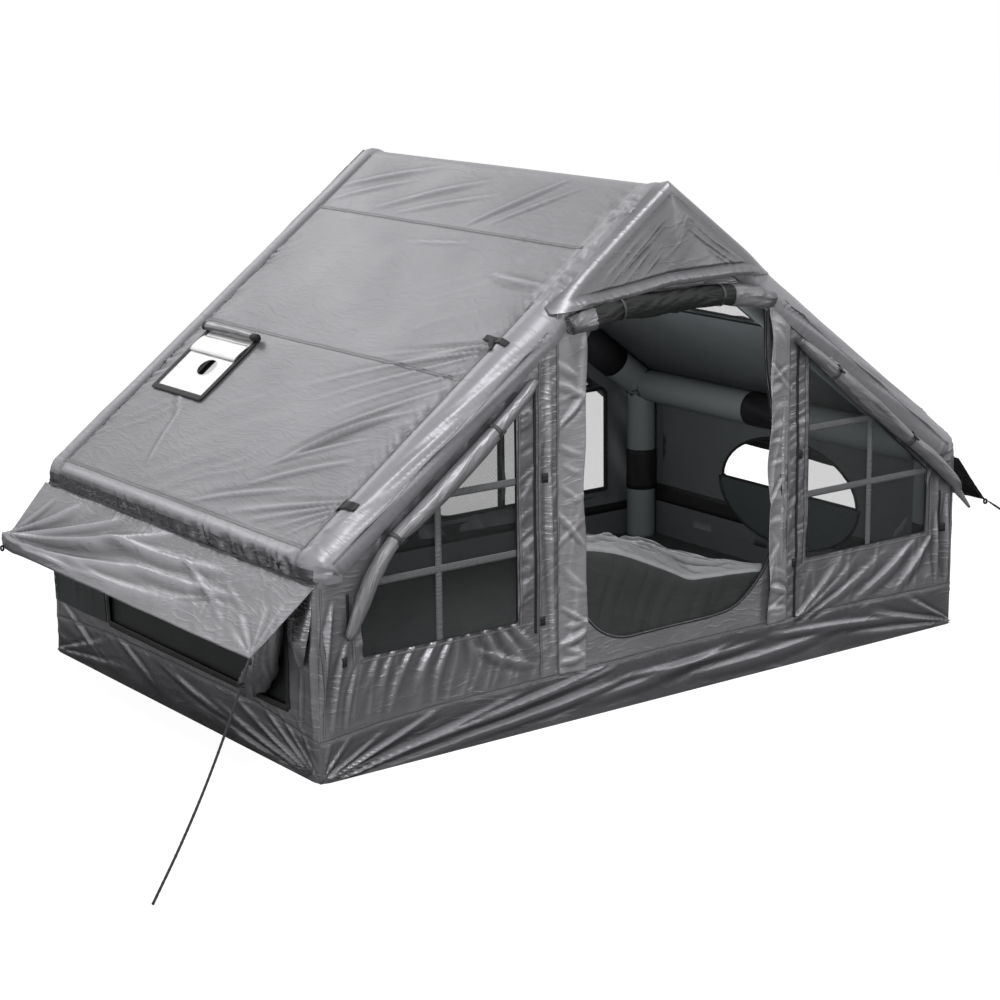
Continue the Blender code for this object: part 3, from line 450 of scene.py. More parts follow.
# Creases: the sharp-crested lines of cloth that has been folded into a bag, in patches that differ.
creases, given, made = add_group(
    "creases", [("Cloth", "Vector", None), ("Size", "Float", 0.12)],
    [("Height", "Float"), ("Patches", "Float")],
)
scale = calc(creases, "DIVIDE", 1.0, given.outputs["Size"])
bend = wire(creases, "TexNoise", Vector=given.outputs["Cloth"], Scale=4.0, Detail=2.0)
shift = wire(creases, "VectorMath", {"operation": "SCALE"}, Vector=bend.outputs["Color"], Scale=0.10)
bent = wire(creases, "VectorMath", {"operation": "ADD"}, i0=given.outputs["Cloth"], i1=shift.outputs[0])
where = wire(creases, "TexNoise", Vector=given.outputs["Cloth"], Scale=2.3, Detail=2.0)
sized = wire(creases, "VectorMath", {"operation": "SCALE"}, Vector=bent.outputs[0], Scale=scale)
height = None
for turn, squeeze, low, high, share in (
    (0.62, 5.0, 0.40, 0.62, 1.0), (-0.85, 4.0, 0.62, 0.42, 0.8), (1.45, 3.0, 0.30, 0.70, 0.35),
):
    laid = wire(
        creases, "Mapping", Vector=sized.outputs[0], Rotation=(0.0, 0.0, turn),
        Scale=(0.35, 0.35 * squeeze, 1.0),
    )
    noise = wire(creases, "TexNoise", Vector=laid.outputs[0], Scale=1.0, Detail=2.5, Roughness=0.5)
    crest = calc(creases, "ABSOLUTE", calc(creases, "MULTIPLY_ADD", noise.outputs["Fac"], 2.0, -1.0))
    crest = calc(creases, "POWER", calc(creases, "SUBTRACT", 1.0, crest), 9.0)
    shown = wire(
        creases, "MapRange", {"interpolation_type": "SMOOTHSTEP"}, Value=where.outputs["Fac"],
        From_Min=low, From_Max=high, To_Min=0.0, To_Max=share,
    )
    crest = calc(creases, "MULTIPLY", crest, shown.outputs[0])
    height = crest if height is None else calc(creases, "ADD", height, crest)
creases.links.new(height, made.inputs["Height"])
creases.links.new(where.outputs["Fac"], made.inputs["Patches"])


def cloth_look(
        name, dark, light, roughness, metallic, crease, size=0.12, pitch=0.0016, thread=0.00008, fold_shade_strength=1.0):
    """Coated woven cloth: `crease` and `thread` are how high its creases and threads stand, in metres.

    Its colour carries a painted highlight on crests and painted shade in hollows; the last argument sets how
    strong they are.
    """
    look, tree, shader = blank_look(name, Metallic=metallic, Specular_IOR_Level=0.5)
    cut = flat_map(tree)
    folds = use_group(tree, creases, Cloth=cut, Size=size)
    weft = use_group(tree, weave, Cloth=cut, Pitch=pitch)
    # Painted shade in the hollows and painted highlight on the crests, from the stored fold depth.
    deep = wire(tree, "Attribute", {"attribute_name": "hollow"})
    tone = wire(
        tree, "MapRange", Value=deep.outputs["Fac"],
        From_Min=-1.3, From_Max=1.3, To_Min=1.0 + 0.26 * fold_shade_strength, To_Max=1.0 - 0.48 * fold_shade_strength,
    )
    colour = wire(
        tree, "VectorMath", {"operation": "SCALE"},
        Vector=two_tone(tree, folds.outputs["Patches"], dark, light), Scale=tone.outputs[0],
    )
    tree.links.new(colour.outputs[0], shader.inputs["Base Color"])
    rough = wire(
        tree, "MapRange", Value=folds.outputs["Patches"],
        From_Min=0.3, From_Max=0.7, To_Min=roughness - 0.04, To_Max=roughness + 0.05,
    )
    tree.links.new(rough.outputs[0], shader.inputs["Roughness"])
    woven = wire(tree, "Bump", Strength=1.0, Distance=thread, Height=weft.outputs["Height"])
    creased = wire(
        tree, "Bump", Strength=1.0, Distance=crease, Height=folds.outputs["Height"],
        Normal=woven.outputs["Normal"]
    )
    tree.links.new(creased.outputs["Normal"], shader.inputs["Normal"])
    return look


beam_look = cloth_look("air beam cloth", beam_dark, beam_light, 0.50, 0.0, 0.0008, size=0.30, fold_shade_strength=0.0)


def bend_points(corner, before, after):
    """The welded runs that take a beam's axis round a corner."""
    corner, before, after = Vector(corner), Vector(before), Vector(after)
    arriving, leaving = (corner - before).normalized(), (after - corner).normalized()
    turn = arriving.angle(leaving)
    centre = corner + (leaving - arriving).normalized() * bend_radius / math.cos(turn / 2)
    start = corner - arriving * bend_radius * math.tan(turn / 2) - centre
    way = -1.0 if arriving.cross(leaving) < 0 else 1.0
    return [
        tuple(
            centre + Matrix.Rotation(way * turn * (k + 0.5) / bend_runs, 2) @ start
            / math.cos(turn / bend_runs / 2)
        )
        for k in range(bend_runs)
    ]


foot_z = cloth + gap
bends = [(-eave_x, foot_z), (-eave_x, eave_z), (0.0, arch_top), (eave_x, eave_z), (eave_x, foot_z)]
corners = [bends[0]]
for before, corner, after in zip(bends, bends[1:], bends[2:]):
    corners += bend_points(corner, before, after)
corners.append(bends[-1])
dense = [np.array(corners[0])]
for one, other in zip(corners, corners[1:]):
    one, other = np.array(one), np.array(other)
    steps = max(4, int(np.linalg.norm(other - one) / 0.022))
    dense += [one + (other - one) * (k + 1) / steps for k in range(steps)]
dense = np.array(dense)
near_bend = np.max([np.exp(-(np.linalg.norm(dense - spot, axis=1) / 0.13) ** 2) for spot in bends[1:4]], 0)
to_eave = np.clip((dense[:, 1] - (eave_z - 0.10)) / 0.12, 0.0, 1.0)
arch_radii = leg_radius + (beam_radius - leg_radius) * to_eave
for end, way in ends:
    path = np.stack([dense[:, 0], np.full(len(dense), way * arch_y), dense[:, 1]], 1)

    def welds(along, angle):
        """Puckers where the runs are welded at the bends."""
        pull = near_bend[:, None] * (0.5 + 0.5 * np.sin(along * 2 * np.pi / 0.036 + 1.5 * np.sin(3 * angle)))
        return -0.0022 * pull - 0.0012 * near_bend[:, None] * (1 + np.sin(9 * angle + 4 * np.sin(along * 23)))

    beam = add_tube(
        f"{end}_arch_beam_cloth", path, arch_radii - skin_gap, beam_look, sides=40, bulge=welds,
        slot="beam_cloth",
    )
    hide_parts(f"{end}_arch_beam")
for name, x, z, radius in (
    ("ridge_beam", 0.0, ridge_z, ridge_radius), ("eave_beam_left", -eave_x, eave_z, beam_radius),
    ("eave_beam_right", eave_x, eave_z, beam_radius),
):
    y = np.linspace(-beam_half, beam_half, 60)
    path = np.stack([np.full(60, x), y, np.full(60, z)], 1)
    end_pull = np.exp(-((beam_half - np.abs(y)) / 0.06) ** 2)[:, None]
    beam = add_tube(
        name + "_cloth", path, radius - skin_gap, beam_look, sides=36, slot="beam_cloth",
        bulge=lambda along, angle:
            -0.0025 * end_pull * (1 + np.sin(11 * angle)) - 0.0006 * (1 + np.sin(5 * angle)),
    )
    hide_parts(name)

# Black sleeves: bands of black webbing cloth that are wrapped round each leg, round the inner side of
# each eave beam and round the back arch's right rafter, to hold the beams in place.
band_look = cloth_look("black sleeve cloth", (0.004, 0.004, 0.005), (0.011, 0.011, 0.012), 0.60, 0.0, 0.0006)
rafter_x = np.array([1.100, 1.205, 1.310])


def grid_faces(rows, columns, order=(0, 1, 2, 3)):
    """Faces over a grid of points. Corners 0 and 1 of each lie on one row, and 2 and 3 on the next."""
    first = (np.arange(rows - 1)[:, None] * columns + np.arange(columns - 1)).ravel()
    faces = np.stack([first, first + 1, first + columns + 1, first + columns], -1)
    return faces[:, list(order)]


def thicken(piece, thickness):
    """Give a thin piece its two sides, half the thickness each way."""
    shell = piece.modifiers.new("thickness", "SOLIDIFY")
    shell.thickness = thickness
    shell.offset = 0.0
    return shell


def add_cloth(name, skin, flat, look, thickness, node, order=(0, 1, 2, 3), **facts):
    """A thin cloth over a grid of points, in place of a solid. `flat` is the same grid on the flat cut."""
    faces = grid_faces(*flat.shape[:2], order)
    piece = add_piece(name, skin.reshape(-1, 3), faces, flat.reshape(-1, 2), look, **facts)
    thicken(piece, thickness)
    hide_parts(node)
    return piece


def band_round(node, centre, axis, radius, start, end, length):
    """A wrinkled band, part or all of the way round a beam that runs along `axis`."""
    angle = np.linspace(start, end, 49)[:, None]
    along = np.linspace(-length / 2, length / 2, 9)[None, :]
    edge = 1 - np.abs(along) / (length / 2)
    reach = radius + 0.0012 + 0.0012 * np.sin(7 * angle + 30 * along) * np.clip(edge * 3, 0, 1)
    u, v = reach * np.cos(angle), reach * np.sin(angle)
    along = along + 0 * angle
    skin = np.stack([u, along, v] if axis == "y" else [u, v, along], -1) + np.array(centre)
    flat = np.stack([np.broadcast_to(angle * radius, along.shape), along], -1)
    add_cloth(node + "_cloth", skin, flat, band_look, 0.0012, node, slot="black_webbing")


for hand, side in hands:
    for end, way in ends:
        band_round(
            f"leg_sleeve_{end}_{hand}", (side * eave_x, way * arch_y, 0.335), "z", leg_radius, 0,
            2 * math.pi, 0.190,
        )
for hand, side, start, end in (("left", -1, -160, 108), ("right", 1, 72, 340)):
    band_round(
        f"eave_sleeve_{hand}", (side * eave_x, 0.045, eave_z), "y", beam_radius, math.radians(start),
        math.radians(end), 0.210,
    )
rafter = np.stack([rafter_x, np.full(3, arch_y), arch_top - rafter_x * math.tan(slope)], 1)
add_tube("rafter_sleeve_back_right", rafter, beam_radius + 0.0016, band_look, sides=36, slot="black_webbing")

# Roof: silver-grey coated cloth in two halves, sewn together on the ridge. Each is seamed across, drawn
# over the arches in a bright sleeve along both gable edges, and folded down over its eave beam.
roof_dark = (0.264, 0.261, 0.279)
roof_light = (0.312, 0.308, 0.328)
lining_dark = (0.049, 0.054, 0.056)
lining_light = (0.073, 0.079, 0.082)
lining_depth = 0.009
roof_look = cloth_look("roof cloth", roof_dark, roof_light, 0.42, 0.35, 0.0008, size=0.055)
lining_look = cloth_look("dark lining", lining_dark, lining_light, 0.55, 0.0, 0.0012, size=0.25)


def lattice(i, j, seed):
    """A repeatable number from 0 to 1 at each whole grid point."""
    mixed = (i * 374761393 + j * 668265263 + seed * 982451653) & 0x7FFFFFFF
    mixed = ((mixed ^ (mixed >> 13)) * 1274126177) & 0x7FFFFFFF
    return ((mixed ^ (mixed >> 16)) & 0xFFFF) / 65535.0


def lumps(a, b, size, seed):
    """Smooth unevenness from -1 to 1, in lumps of about this size."""
    x, y = a / size, b / size
    i, j = np.floor(x).astype(np.int64), np.floor(y).astype(np.int64)
    u, v = x - i, y - j
    u, v = u * u * (3 - 2 * u), v * v * (3 - 2 * v)
    low = lattice(i, j, seed) * (1 - u) + lattice(i + 1, j, seed) * u
    high = lattice(i, j + 1, seed) * (1 - u) + lattice(i + 1, j + 1, seed) * u
    return 2 * (low * (1 - v) + high * v) - 1


def grain(a, b, angle, length, width, seed):
    """Drawn-out unevenness: long lumps that lie at an angle, sharp along their crests."""
    u = a * math.cos(angle) + b * math.sin(angle)
    v = b * math.cos(angle) - a * math.sin(angle) + 0.4 * width * lumps(a, b, 3 * width, seed + 7)
    return 1 - 2 * np.sqrt(np.abs(lumps(u * width / length, v, width, seed)) + 0.02)


def fold(a, b, start, end, width, height, bow=0.0, grip="both"):
    """One fold, crested along its run. It dies away towards both ends, or is sharpest where it is gripped."""
    run_a, run_b = end[0] - start[0], end[1] - start[1]
    length = math.hypot(run_a, run_b)
    t = ((a - start[0]) * run_a + (b - start[1]) * run_b) / length ** 2
    inside = np.clip(t, 0.0, 1.0)
    off = ((a - start[0]) * run_b - (b - start[1]) * run_a) / length - bow * np.sin(np.pi * inside)
    if grip == "start":
        wide = width * (0.35 + 0.9 * inside)
        tall = np.clip(t / 0.06, 0, 1) * np.clip(1 - t, 0, 1) ** 0.8
    else:
        wide = width * (0.6 + 0.4 * np.sin(np.pi * inside))
        tall = np.sin(np.pi * inside) ** 0.8
    beside = off / np.where(off > 0, wide, wide * 0.55)
    return height * tall * (np.exp(-np.abs(beside) ** 1.4) - 0.40 * np.exp(-((beside - 1.9) / 0.9) ** 2))


def folds(a, b, runs):
    """All the folds of a list, laid over one another."""
    total = np.zeros_like(a)
    for start, end, width, height, *rest in runs:
        total += fold(a, b, start, end, width, height, *rest)
    return total


def above(height, floor):
    """Relief that never sinks below this depth, where another piece lies."""
    return np.where(height > 0, height, floor * np.tanh(height / floor))


def fan(a, b, centre, first, last, count, length, width, height, seed):
    """Folds that spread from a gripped point, between two angles."""
    dice = random.Random(seed)
    total = np.zeros_like(a)
    for k in range(count):
        angle = math.radians(first + (last - first) * (k + 0.5 * dice.random() + 0.25) / count)
        reach = length * (0.55 + 0.6 * dice.random())
        end = (centre[0] + reach * math.cos(angle), centre[1] + reach * math.sin(angle))
        total += fold(
            a, b, centre, end, width * (0.7 + 0.6 * dice.random()), height * (0.5 + 0.8 * dice.random()),
            reach * 0.05 * (dice.random() - 0.5), "start",
        )
    return total


def puckers(along, off, pitch, reach, height, seed):
    """Small gathers square to a seam: `along` runs with it, and `off` is the distance from it."""
    wave = grain(off, along + 0.25 * off, 0.0, reach * 3, pitch * 0.55, seed)
    strong = 0.55 + 0.45 * lumps(along, 0 * along, pitch * 6, seed + 3)
    return height * strong * wave * np.exp(-np.abs(off) / reach)


def evenly(loop, pitch):
    """A closed outline with points no further apart than the pitch."""
    loop = np.asarray(loop, float)
    points = []
    for one, other in zip(loop, np.roll(loop, -1, 0)):
        steps = max(1, int(math.ceil(np.linalg.norm(other - one) / pitch)))
        points += [one + (other - one) * k / steps for k in range(steps)]
    return np.array(points)


def within(points, loop):
    """Which points are inside a closed outline."""
    x, y = points[:, 0], points[:, 1]
    odd = np.zeros(len(points), bool)
    for (x0, y0), (x1, y1) in zip(loop, np.roll(loop, -1, 0)):
        if y0 != y1:
            odd ^= ((y0 > y) != (y1 > y)) & (x < (x1 - x0) * (y - y0) / (y1 - y0) + x0)
    return odd


def distance(points, loop):
    """How far each point is from a closed outline."""
    least = np.full(len(points), np.inf)
    for one, other in zip(loop, np.roll(loop, -1, 0)):
        run = other - one
        size = run.dot(run)
        if size > 0:
            t = np.clip(((points - one) @ run) / size, 0, 1)
            least = np.minimum(least, np.linalg.norm(points - one - t[:, None] * run, axis=1))
    return least


def cut_cloth(outline, holes, pitch):
    """Points and triangles over a flat cut with holes, close to evenly spaced."""
    loops = [np.asarray(outline, float)] + [np.asarray(hole, float) for hole in holes]
    low, high = loops[0].min(0), loops[0].max(0)
    rise = pitch * math.sqrt(3) / 2
    rows = np.arange(low[1] + rise / 2, high[1], rise)
    columns = np.arange(low[0] - pitch, high[0] + pitch, pitch)
    a, b = np.meshgrid(columns, rows)
    a = a + (np.arange(len(rows)) % 2)[:, None] * pitch / 2
    inner = np.stack([a.ravel(), b.ravel()], 1)
    inner = inner[within(inner, loops[0])]
    for hole in loops[1:]:
        inner = inner[~within(inner, hole)]
    for loop in loops:
        inner = inner[distance(inner, loop) > 0.45 * pitch]
    borders = [evenly(loop, pitch) for loop in loops]
    edges = []
    first = 0
    for border in borders:
        edges += [(first + k, first + (k + 1) % len(border)) for k in range(len(border))]
        first += len(border)
    points = np.vstack(borders + [inner])
    found = delaunay_2d_cdt([Vector(spot) for spot in points.tolist()], edges, [], 0, 1e-7)
    flat = np.array([tuple(spot) for spot in found[0]])
    faces = np.array(found[2])
    middles = flat[faces].mean(1)
    keep = within(middles, loops[0])
    for hole in loops[1:]:
        keep &= ~within(middles, hole)
    return flat, faces[keep]


def facing_out(flat, faces, place):
    """The faces, all turned to look outwards."""
    a, b = flat[faces[0]].mean(0)
    here = place(np.array([a]), np.array([b]), np.array([0.0]))[0]
    there = place(np.array([a]), np.array([b]), np.array([0.01]))[0]
    corners = place(flat[faces[0], 0], flat[faces[0], 1], np.zeros(3))
    normal = np.cross(corners[1] - corners[0], corners[2] - corners[0])
    return faces if normal.dot(there - here) > 0 else faces[:, ::-1]


def add_panel(name, outline, holes, pitch, place, relief, looks, lining_pitch=0.05, drape=None, **facts):
    """A panel of the shell: fine cloth outside, and a coarse dark coating on the inside."""
    flat, faces = cut_cloth(outline, holes, pitch)
    faces = facing_out(flat, faces, place)
    skin = place(flat[:, 0], flat[:, 1], relief(flat[:, 0], flat[:, 1]))
    if len(looks) == 1:
        return add_piece(name, skin, faces, flat, looks, **facts)
    flat_in, faces_in = cut_cloth(outline, holes, lining_pitch)
    faces_in = facing_out(flat_in, faces_in, place)[:, ::-1]
    sunk = lining_depth + (drape(flat_in[:, 0], flat_in[:, 1]) if drape else np.zeros(len(flat_in)))
    inside = place(flat_in[:, 0], flat_in[:, 1], -sunk)
    return add_piece(
        name, np.vstack([skin, inside]), np.vstack([faces, faces_in + len(flat)]),
        np.vstack([flat, flat_in]), looks, which=[0] * len(faces) + [1] * len(faces_in), **facts,
    )


# The sleeve's section over a gable edge: an arc round the arch beam, from the roof's seam to the wall.
sleeve_radius = 0.0887
arc = np.radians(np.linspace(118.0, -22.0, 60))
section = np.stack([arch_y + sleeve_radius * np.cos(arc), sleeve_radius * np.sin(arc) - wrap], 1)
sleeve_seam = section[0, 0]
section_run = np.concatenate([[0.0], np.cumsum(np.linalg.norm(np.diff(section, axis=0), axis=1))]) + sleeve_seam
section_tilt = np.unwrap(np.arctan2(-np.gradient(section[:, 1]), np.gradient(section[:, 0])))
roof_reach = section_run[-1]
crest_down = ridge_wrap * (math.tan(slope) - slope)
ridge_end = ridge_wrap * math.tan(slope)
eave_start = eave_x * math.cos(slope) + (peak - eave_z) * math.sin(slope)
eave_end = eave_start + wrap * (math.pi / 2 - slope)
hem_down = eave_end + eave_z - 0.700


def roof_turn(down):
    """How far the cloth has turned from level at this distance down from the peak."""
    over_ridge = np.clip((down - crest_down) / (ridge_end - crest_down), 0, 1)
    over_eave = np.clip((down - eave_start) / (eave_end - eave_start), 0, 1)
    return slope * over_ridge + (math.pi / 2 - slope) * over_eave


def on_roof(side):
    """Places on one roof half, from metres along it, down from the peak and off its cloth."""
    def place(across, down, lift):
        turn = roof_turn(down)
        over_ridge = down < ridge_end
        over_eave = down > eave_start
        x = np.where(
            over_ridge, ridge_wrap * np.sin(turn),
            np.where(over_eave, eave_x + wrap * np.sin(turn), down * math.cos(slope)),
        )
        z = np.where(
            over_ridge, ridge_z + ridge_wrap * np.cos(turn),
            np.where(
                over_eave, eave_z + wrap * np.cos(turn) - np.maximum(down - eave_end, 0),
                peak - down * math.sin(slope)
            ),
        )
        run = np.abs(across)
        y = np.interp(run, section_run, section[:, 0], left=0)
        y = np.where(run < sleeve_seam, run, y)
        stand = np.interp(run, section_run, section[:, 1], left=0)
        tilt = np.where(run < sleeve_seam, 0.0, np.interp(run, section_run, section_tilt))
        up = stand + lift * np.cos(tilt)
        y = y + lift * np.sin(tilt)
        return np.stack([
            side * (x + up * np.sin(turn)), np.sign(across) * y, z + up * np.cos(turn)
        ], 1)
    return place


def ramp(value, start, end):
    """From 0 to 1 between two values, easing in and out."""
    t = np.clip((value - start) / (end - start), 0, 1)
    return t * t * (3 - 2 * t)


roof_seeds = {-1: 3, 1: 71}
upper_seam = 0.375
middle_seams = {-1: 1.060, 1: 1.110}
eave_seam = 1.885
visor_edge_down = (0.0, 0.066, 0.30, 0.523, 0.600)
visor_edge_run = np.interp((0.944, 0.946, 0.954, 0.966, 0.974), section[:40, 0], section_run[:40])


def visor_top(down):
    """Where the visor's upper edge lies on the sleeve, as a run along the sleeve's section."""
    return np.interp(down, visor_edge_down, visor_edge_run)


roof_runs = [
    ((-0.870, 0.892), (-0.430, 1.085), 0.025, 0.0159, 0.010, "start"),
    ((-0.870, 0.885), (-0.280, 1.060), 0.012, 0.0065, 0.004, "start"),
    ((-0.865, 0.915), (-0.050, 1.270), 0.015, 0.0094, 0.014, "start"),
    ((-0.875, 0.935), (-0.180, 1.330), 0.014, 0.0072, 0.010, "start"),
    ((-0.900, 1.000), (-0.360, 1.350), 0.015, 0.0080, 0.010, "start"),
    ((-0.900, 1.080), (-0.430, 1.420), 0.014, 0.0065, 0.006),
    ((0.930, 0.260), (0.300, 0.045), 0.015, 0.0080, -0.010),
    ((0.880, 0.330), (0.400, 0.140), 0.012, 0.0058, -0.008),
    ((0.520, 0.330), (-0.060, 0.090), 0.017, 0.0080, -0.012),
    ((0.380, 0.350), (-0.180, 0.160), 0.012, 0.0058, -0.006),
    ((-0.120, 0.355), (-0.480, 0.030), 0.015, 0.0080, -0.008),
    ((-0.240, 0.340), (-0.600, 0.060), 0.010, 0.0058, -0.004),
    ((0.120, 0.480), (-0.300, 0.425), 0.009, 0.0043, 0.004),
    ((-0.530, 0.560), (-0.880, 0.575), 0.017, 0.0080, 0.006),
    ((-0.740, 1.250), (-0.330, 1.610), 0.022, 0.0145, 0.014),
    ((-0.800, 1.230), (-0.460, 1.480), 0.012, 0.0065, 0.008),
    ((-0.720, 1.390), (-0.280, 1.640), 0.010, 0.0058, 0.010),
    ((-0.740, 1.500), (-0.290, 1.730), 0.017, 0.0087, 0.010),
    ((-0.600, 1.670), (-0.060, 1.880), 0.015, 0.0080, 0.010),
    ((-0.895, 1.665), (-0.300, 1.870), 0.019, 0.0123, 0.008, "start"),
    ((-0.895, 1.680), (-0.440, 1.878), 0.013, 0.0101, 0.004, "start"),
    ((-0.895, 1.695), (-0.580, 1.885), 0.011, 0.0094, 0.002, "start"),
    ((-0.895, 1.710), (-0.700, 1.890), 0.009, 0.0072, 0.000, "start"),
    ((0.700, 1.300), (0.450, 1.560), 0.017, 0.0043, 0.006),
    ((0.500, 1.480), (0.360, 1.800), 0.014, 0.0051, 0.004),
]


def roof_relief(side):
    """Slack, folds, seams and gathers of one roof half."""
    seed = roof_seeds[side]

    def relief(y, down):
        inner = ramp(sleeve_seam - np.abs(y), -0.004, 0.050)
        calm = ramp(down, crest_down, 0.060)
        height = 0.0045 * lumps(y, down, 0.62, seed) + 0.0016 * lumps(y, down, 0.21, seed + 1)
        patch = ramp(lumps(y, down, 0.5, seed + 5), -0.1, 0.5)
        height += 0.0012 * grain(y, down, 0.55, 0.45, 0.055, seed + 2) * patch
        height += folds(y, down, roof_runs)
        height *= inner * (1 - 0.7 * ramp(down, 1.86, 1.90))
        for seam, strength in ((upper_seam, 0.0014), (middle_seams[side], 0.0012), (eave_seam, 0.0016)):
            height += puckers(y, down - seam, 0.045, 0.030, strength, seed + 11) * inner
            height -= 0.0018 * np.exp(-((down - seam) / 0.006) ** 2)
        edge = sleeve_seam - np.abs(y)
        gathers = 0.35 + 1.5 * np.exp(-((down - 0.78) / 0.16) ** 2) + 1.3 * np.exp(-((down - 1.42) / 0.22) ** 2)
        gathers *= ramp(down, 0.50, 0.66)
        gathers *= edge > -0.002
        height += puckers(down + 0.5 * edge, edge, 0.028, 0.050, 0.0080, seed + 17) * gathers
        from_visor = visor_top(down) - np.abs(y)
        beside = np.exp(-np.abs(from_visor) / 0.060) * (1 - ramp(down, 0.60, 0.72)) * (y < 0)
        patchy = 0.5 + lumps(down, 0 * down, 0.16, seed + 25)
        height += beside * patchy * 0.0130 * grain(y, down + 0.6 * y, 0.35, 0.09, 0.022, seed + 19)
        height += beside * patchy * 0.0080 * (1 - 2 * np.sqrt(np.abs(lumps(y, down, 0.028, seed + 21)) + 0.02))
        no_visor = np.where(y < 0, ramp(down, 0.56, 0.70), 1.0)
        height -= 0.0022 * np.exp(-(edge / 0.006) ** 2) * no_visor
        height += 0.0085 * np.exp(-((edge - 0.006) / 0.026) ** 2) * (1 - no_visor)
        on_sleeve = ramp(-edge, 0.0, 0.02)
        height += on_sleeve * folds(y, down, [
            ((-1.055, 0.690), (-0.965, 1.400), 0.010, 0.0090, 0.004, "start"),
            ((-1.070, 0.700), (-1.010, 1.640), 0.010, 0.0090, -0.004),
            ((-1.040, 1.050), (-0.950, 1.830), 0.012, 0.0060, 0.004),
            ((-1.060, 1.300), (-1.020, 1.880), 0.009, 0.0070),
            ((1.055, 0.690), (0.965, 1.400), 0.010, 0.0060, 0.004, "start"),
            ((-0.900, 1.880), (-1.020, 1.500), 0.010, 0.0060, 0.004, "start"),
        ])
        height += on_sleeve * 0.0012 * lumps(down * 0.25, y, 0.06, seed + 23)
        height += on_sleeve * 0.0016 * grain(y, down, 1.47, 0.70, 0.034, seed + 29)
        rim = roof_reach - np.abs(y)
        height += puckers(down, rim, 0.030, 0.030, 0.0012, seed + 33) * on_sleeve
        low = ramp(down, 1.80, 1.88) * on_sleeve
        height += low * 0.0040 * grain(y, down, 0.0, 0.10, 0.018, seed + 31)
        turned = np.clip((down - eave_start) / (eave_end - eave_start), 0, 1) - 0.5
        corner = wrap * (1 / np.cos((math.pi / 2 - slope) * (0.5 - np.abs(turned))) - 1)
        height += 1.9 * corner * inner * (1 - 0.15 * np.abs(np.sin(5 * y)))
        roll = ramp(down, 1.930, 1.955) * (1 - ramp(down, 1.990, 2.010))
        strong = 0.20 + 0.9 * ramp(-y, -0.05, 0.35) + 0.25 * lumps(y, 0 * y, 0.3, seed + 37)
        wave = grain(down, y + 0.45 * (down - 1.9), 0.0, 0.16, 0.024, seed + 41)
        height += roll * strong * 0.0160 * (wave + 0.5) * inner
        spill = ramp(down, 1.890, 1.925) * (1 - ramp(down, 1.930, 1.955))
        height += spill * strong * 0.0040 * (wave + 0.5) * inner
        height -= 0.0030 * np.exp(-((down - 2.001) / 0.006) ** 2)
        under_visor = ramp(-from_visor, 0.0, 0.006) * (1 - ramp(down, 0.60, 0.68)) * (y < 0)
        height = np.minimum(height, 0.0010 + 1.0 * (1 - under_visor))
        return above(height * calm, 0.0050 - 0.0034 * ramp(down, 1.86, 1.90) * inner)
    return relief


jack_hole = (0.565, 1.295)
jack_hole_radius = 0.070
vent_low, vent_high = (-0.500, 0.850), (-0.110, 1.090)


def ring(centre, radius, count=32, squash=1.0):
    """A round or flattened outline."""
    angle = 2 * np.pi * np.arange(count) / count
    return np.stack([centre[0] + radius * np.cos(angle), centre[1] + squash * radius * np.sin(angle)], 1)


def rounded(corners, radii, steps=6):
    """An outline with its corners turned into arcs, of one radius or of one for each corner."""
    outline = []
    for i, (x, y) in enumerate(corners):
        radius = radii[i] if hasattr(radii, "__len__") else radii
        corner = Vector((x, y))
        back = (Vector(corners[i - 1]) - corner).normalized()
        on = (Vector(corners[(i + 1) % len(corners)]) - corner).normalized()
        half = back.angle(on) / 2
        middle = corner + (back + on).normalized() * radius / math.sin(half)
        start = corner + back * radius / math.tan(half) - middle
        turn = start.angle_signed(corner + on * radius / math.tan(half) - middle)
        for k in range(steps + 1):
            outline.append(tuple(middle + Matrix.Rotation(-turn * k / steps, 2) @ start))
    return np.array(outline)


vent_hole = rounded([vent_low, (vent_high[0], vent_low[1]), vent_high, (vent_low[0], vent_high[1])], 0.030)
roof_outline = [
    (-roof_reach, crest_down), (roof_reach, crest_down), (roof_reach, hem_down), (-roof_reach, hem_down),
]
for (hand, side), hole in zip(hands, (ring(jack_hole, jack_hole_radius), vent_hole)):
    roof = add_panel(
        f"roof_{hand}_cloth", roof_outline, [hole], 0.012, on_roof(side), roof_relief(side),
        [roof_look, lining_look], lining_pitch=0.06, slot="roof_cloth",
    )
    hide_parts(f"roof_panel_{hand}")

# Roof seams: each is a folded strip of the roof's own cloth, laid over the join and held by two rows
# of stitches; it is coloured darker than the roof, as painted shade along the join. A darker strip
# along each eave's turned-down face is painted shade too.
stitches, given, made = add_group(
    "stitches", [("Strip", "Vector", None), ("Offset", "Float", 0.004), ("Length", "Float", 0.005)],
    [("Thread", "Float"), ("Height", "Float")],
)
parts = wire(stitches, "SeparateXYZ", Vector=given.outputs["Strip"])
from_row = calc(
    stitches, "ABSOLUTE",
    calc(stitches, "SUBTRACT", calc(stitches, "ABSOLUTE", parts.outputs[1]), given.outputs["Offset"]),
)
row = wire(
    stitches, "MapRange", {"interpolation_type": "SMOOTHSTEP"}, Value=from_row,
    From_Min=0.0003, From_Max=0.0011, To_Min=1.0, To_Max=0.0,
)
step = calc(stitches, "FRACT", calc(stitches, "DIVIDE", parts.outputs[0], given.outputs["Length"]))
dash = wire(
    stitches, "MapRange", {"interpolation_type": "SMOOTHSTEP"},
    Value=calc(stitches, "ABSOLUTE", calc(stitches, "SUBTRACT", step, 0.5)),
    From_Min=0.30, From_Max=0.42, To_Min=1.0, To_Max=0.0,
)
thread = calc(stitches, "MULTIPLY", row.outputs[0], dash.outputs[0])
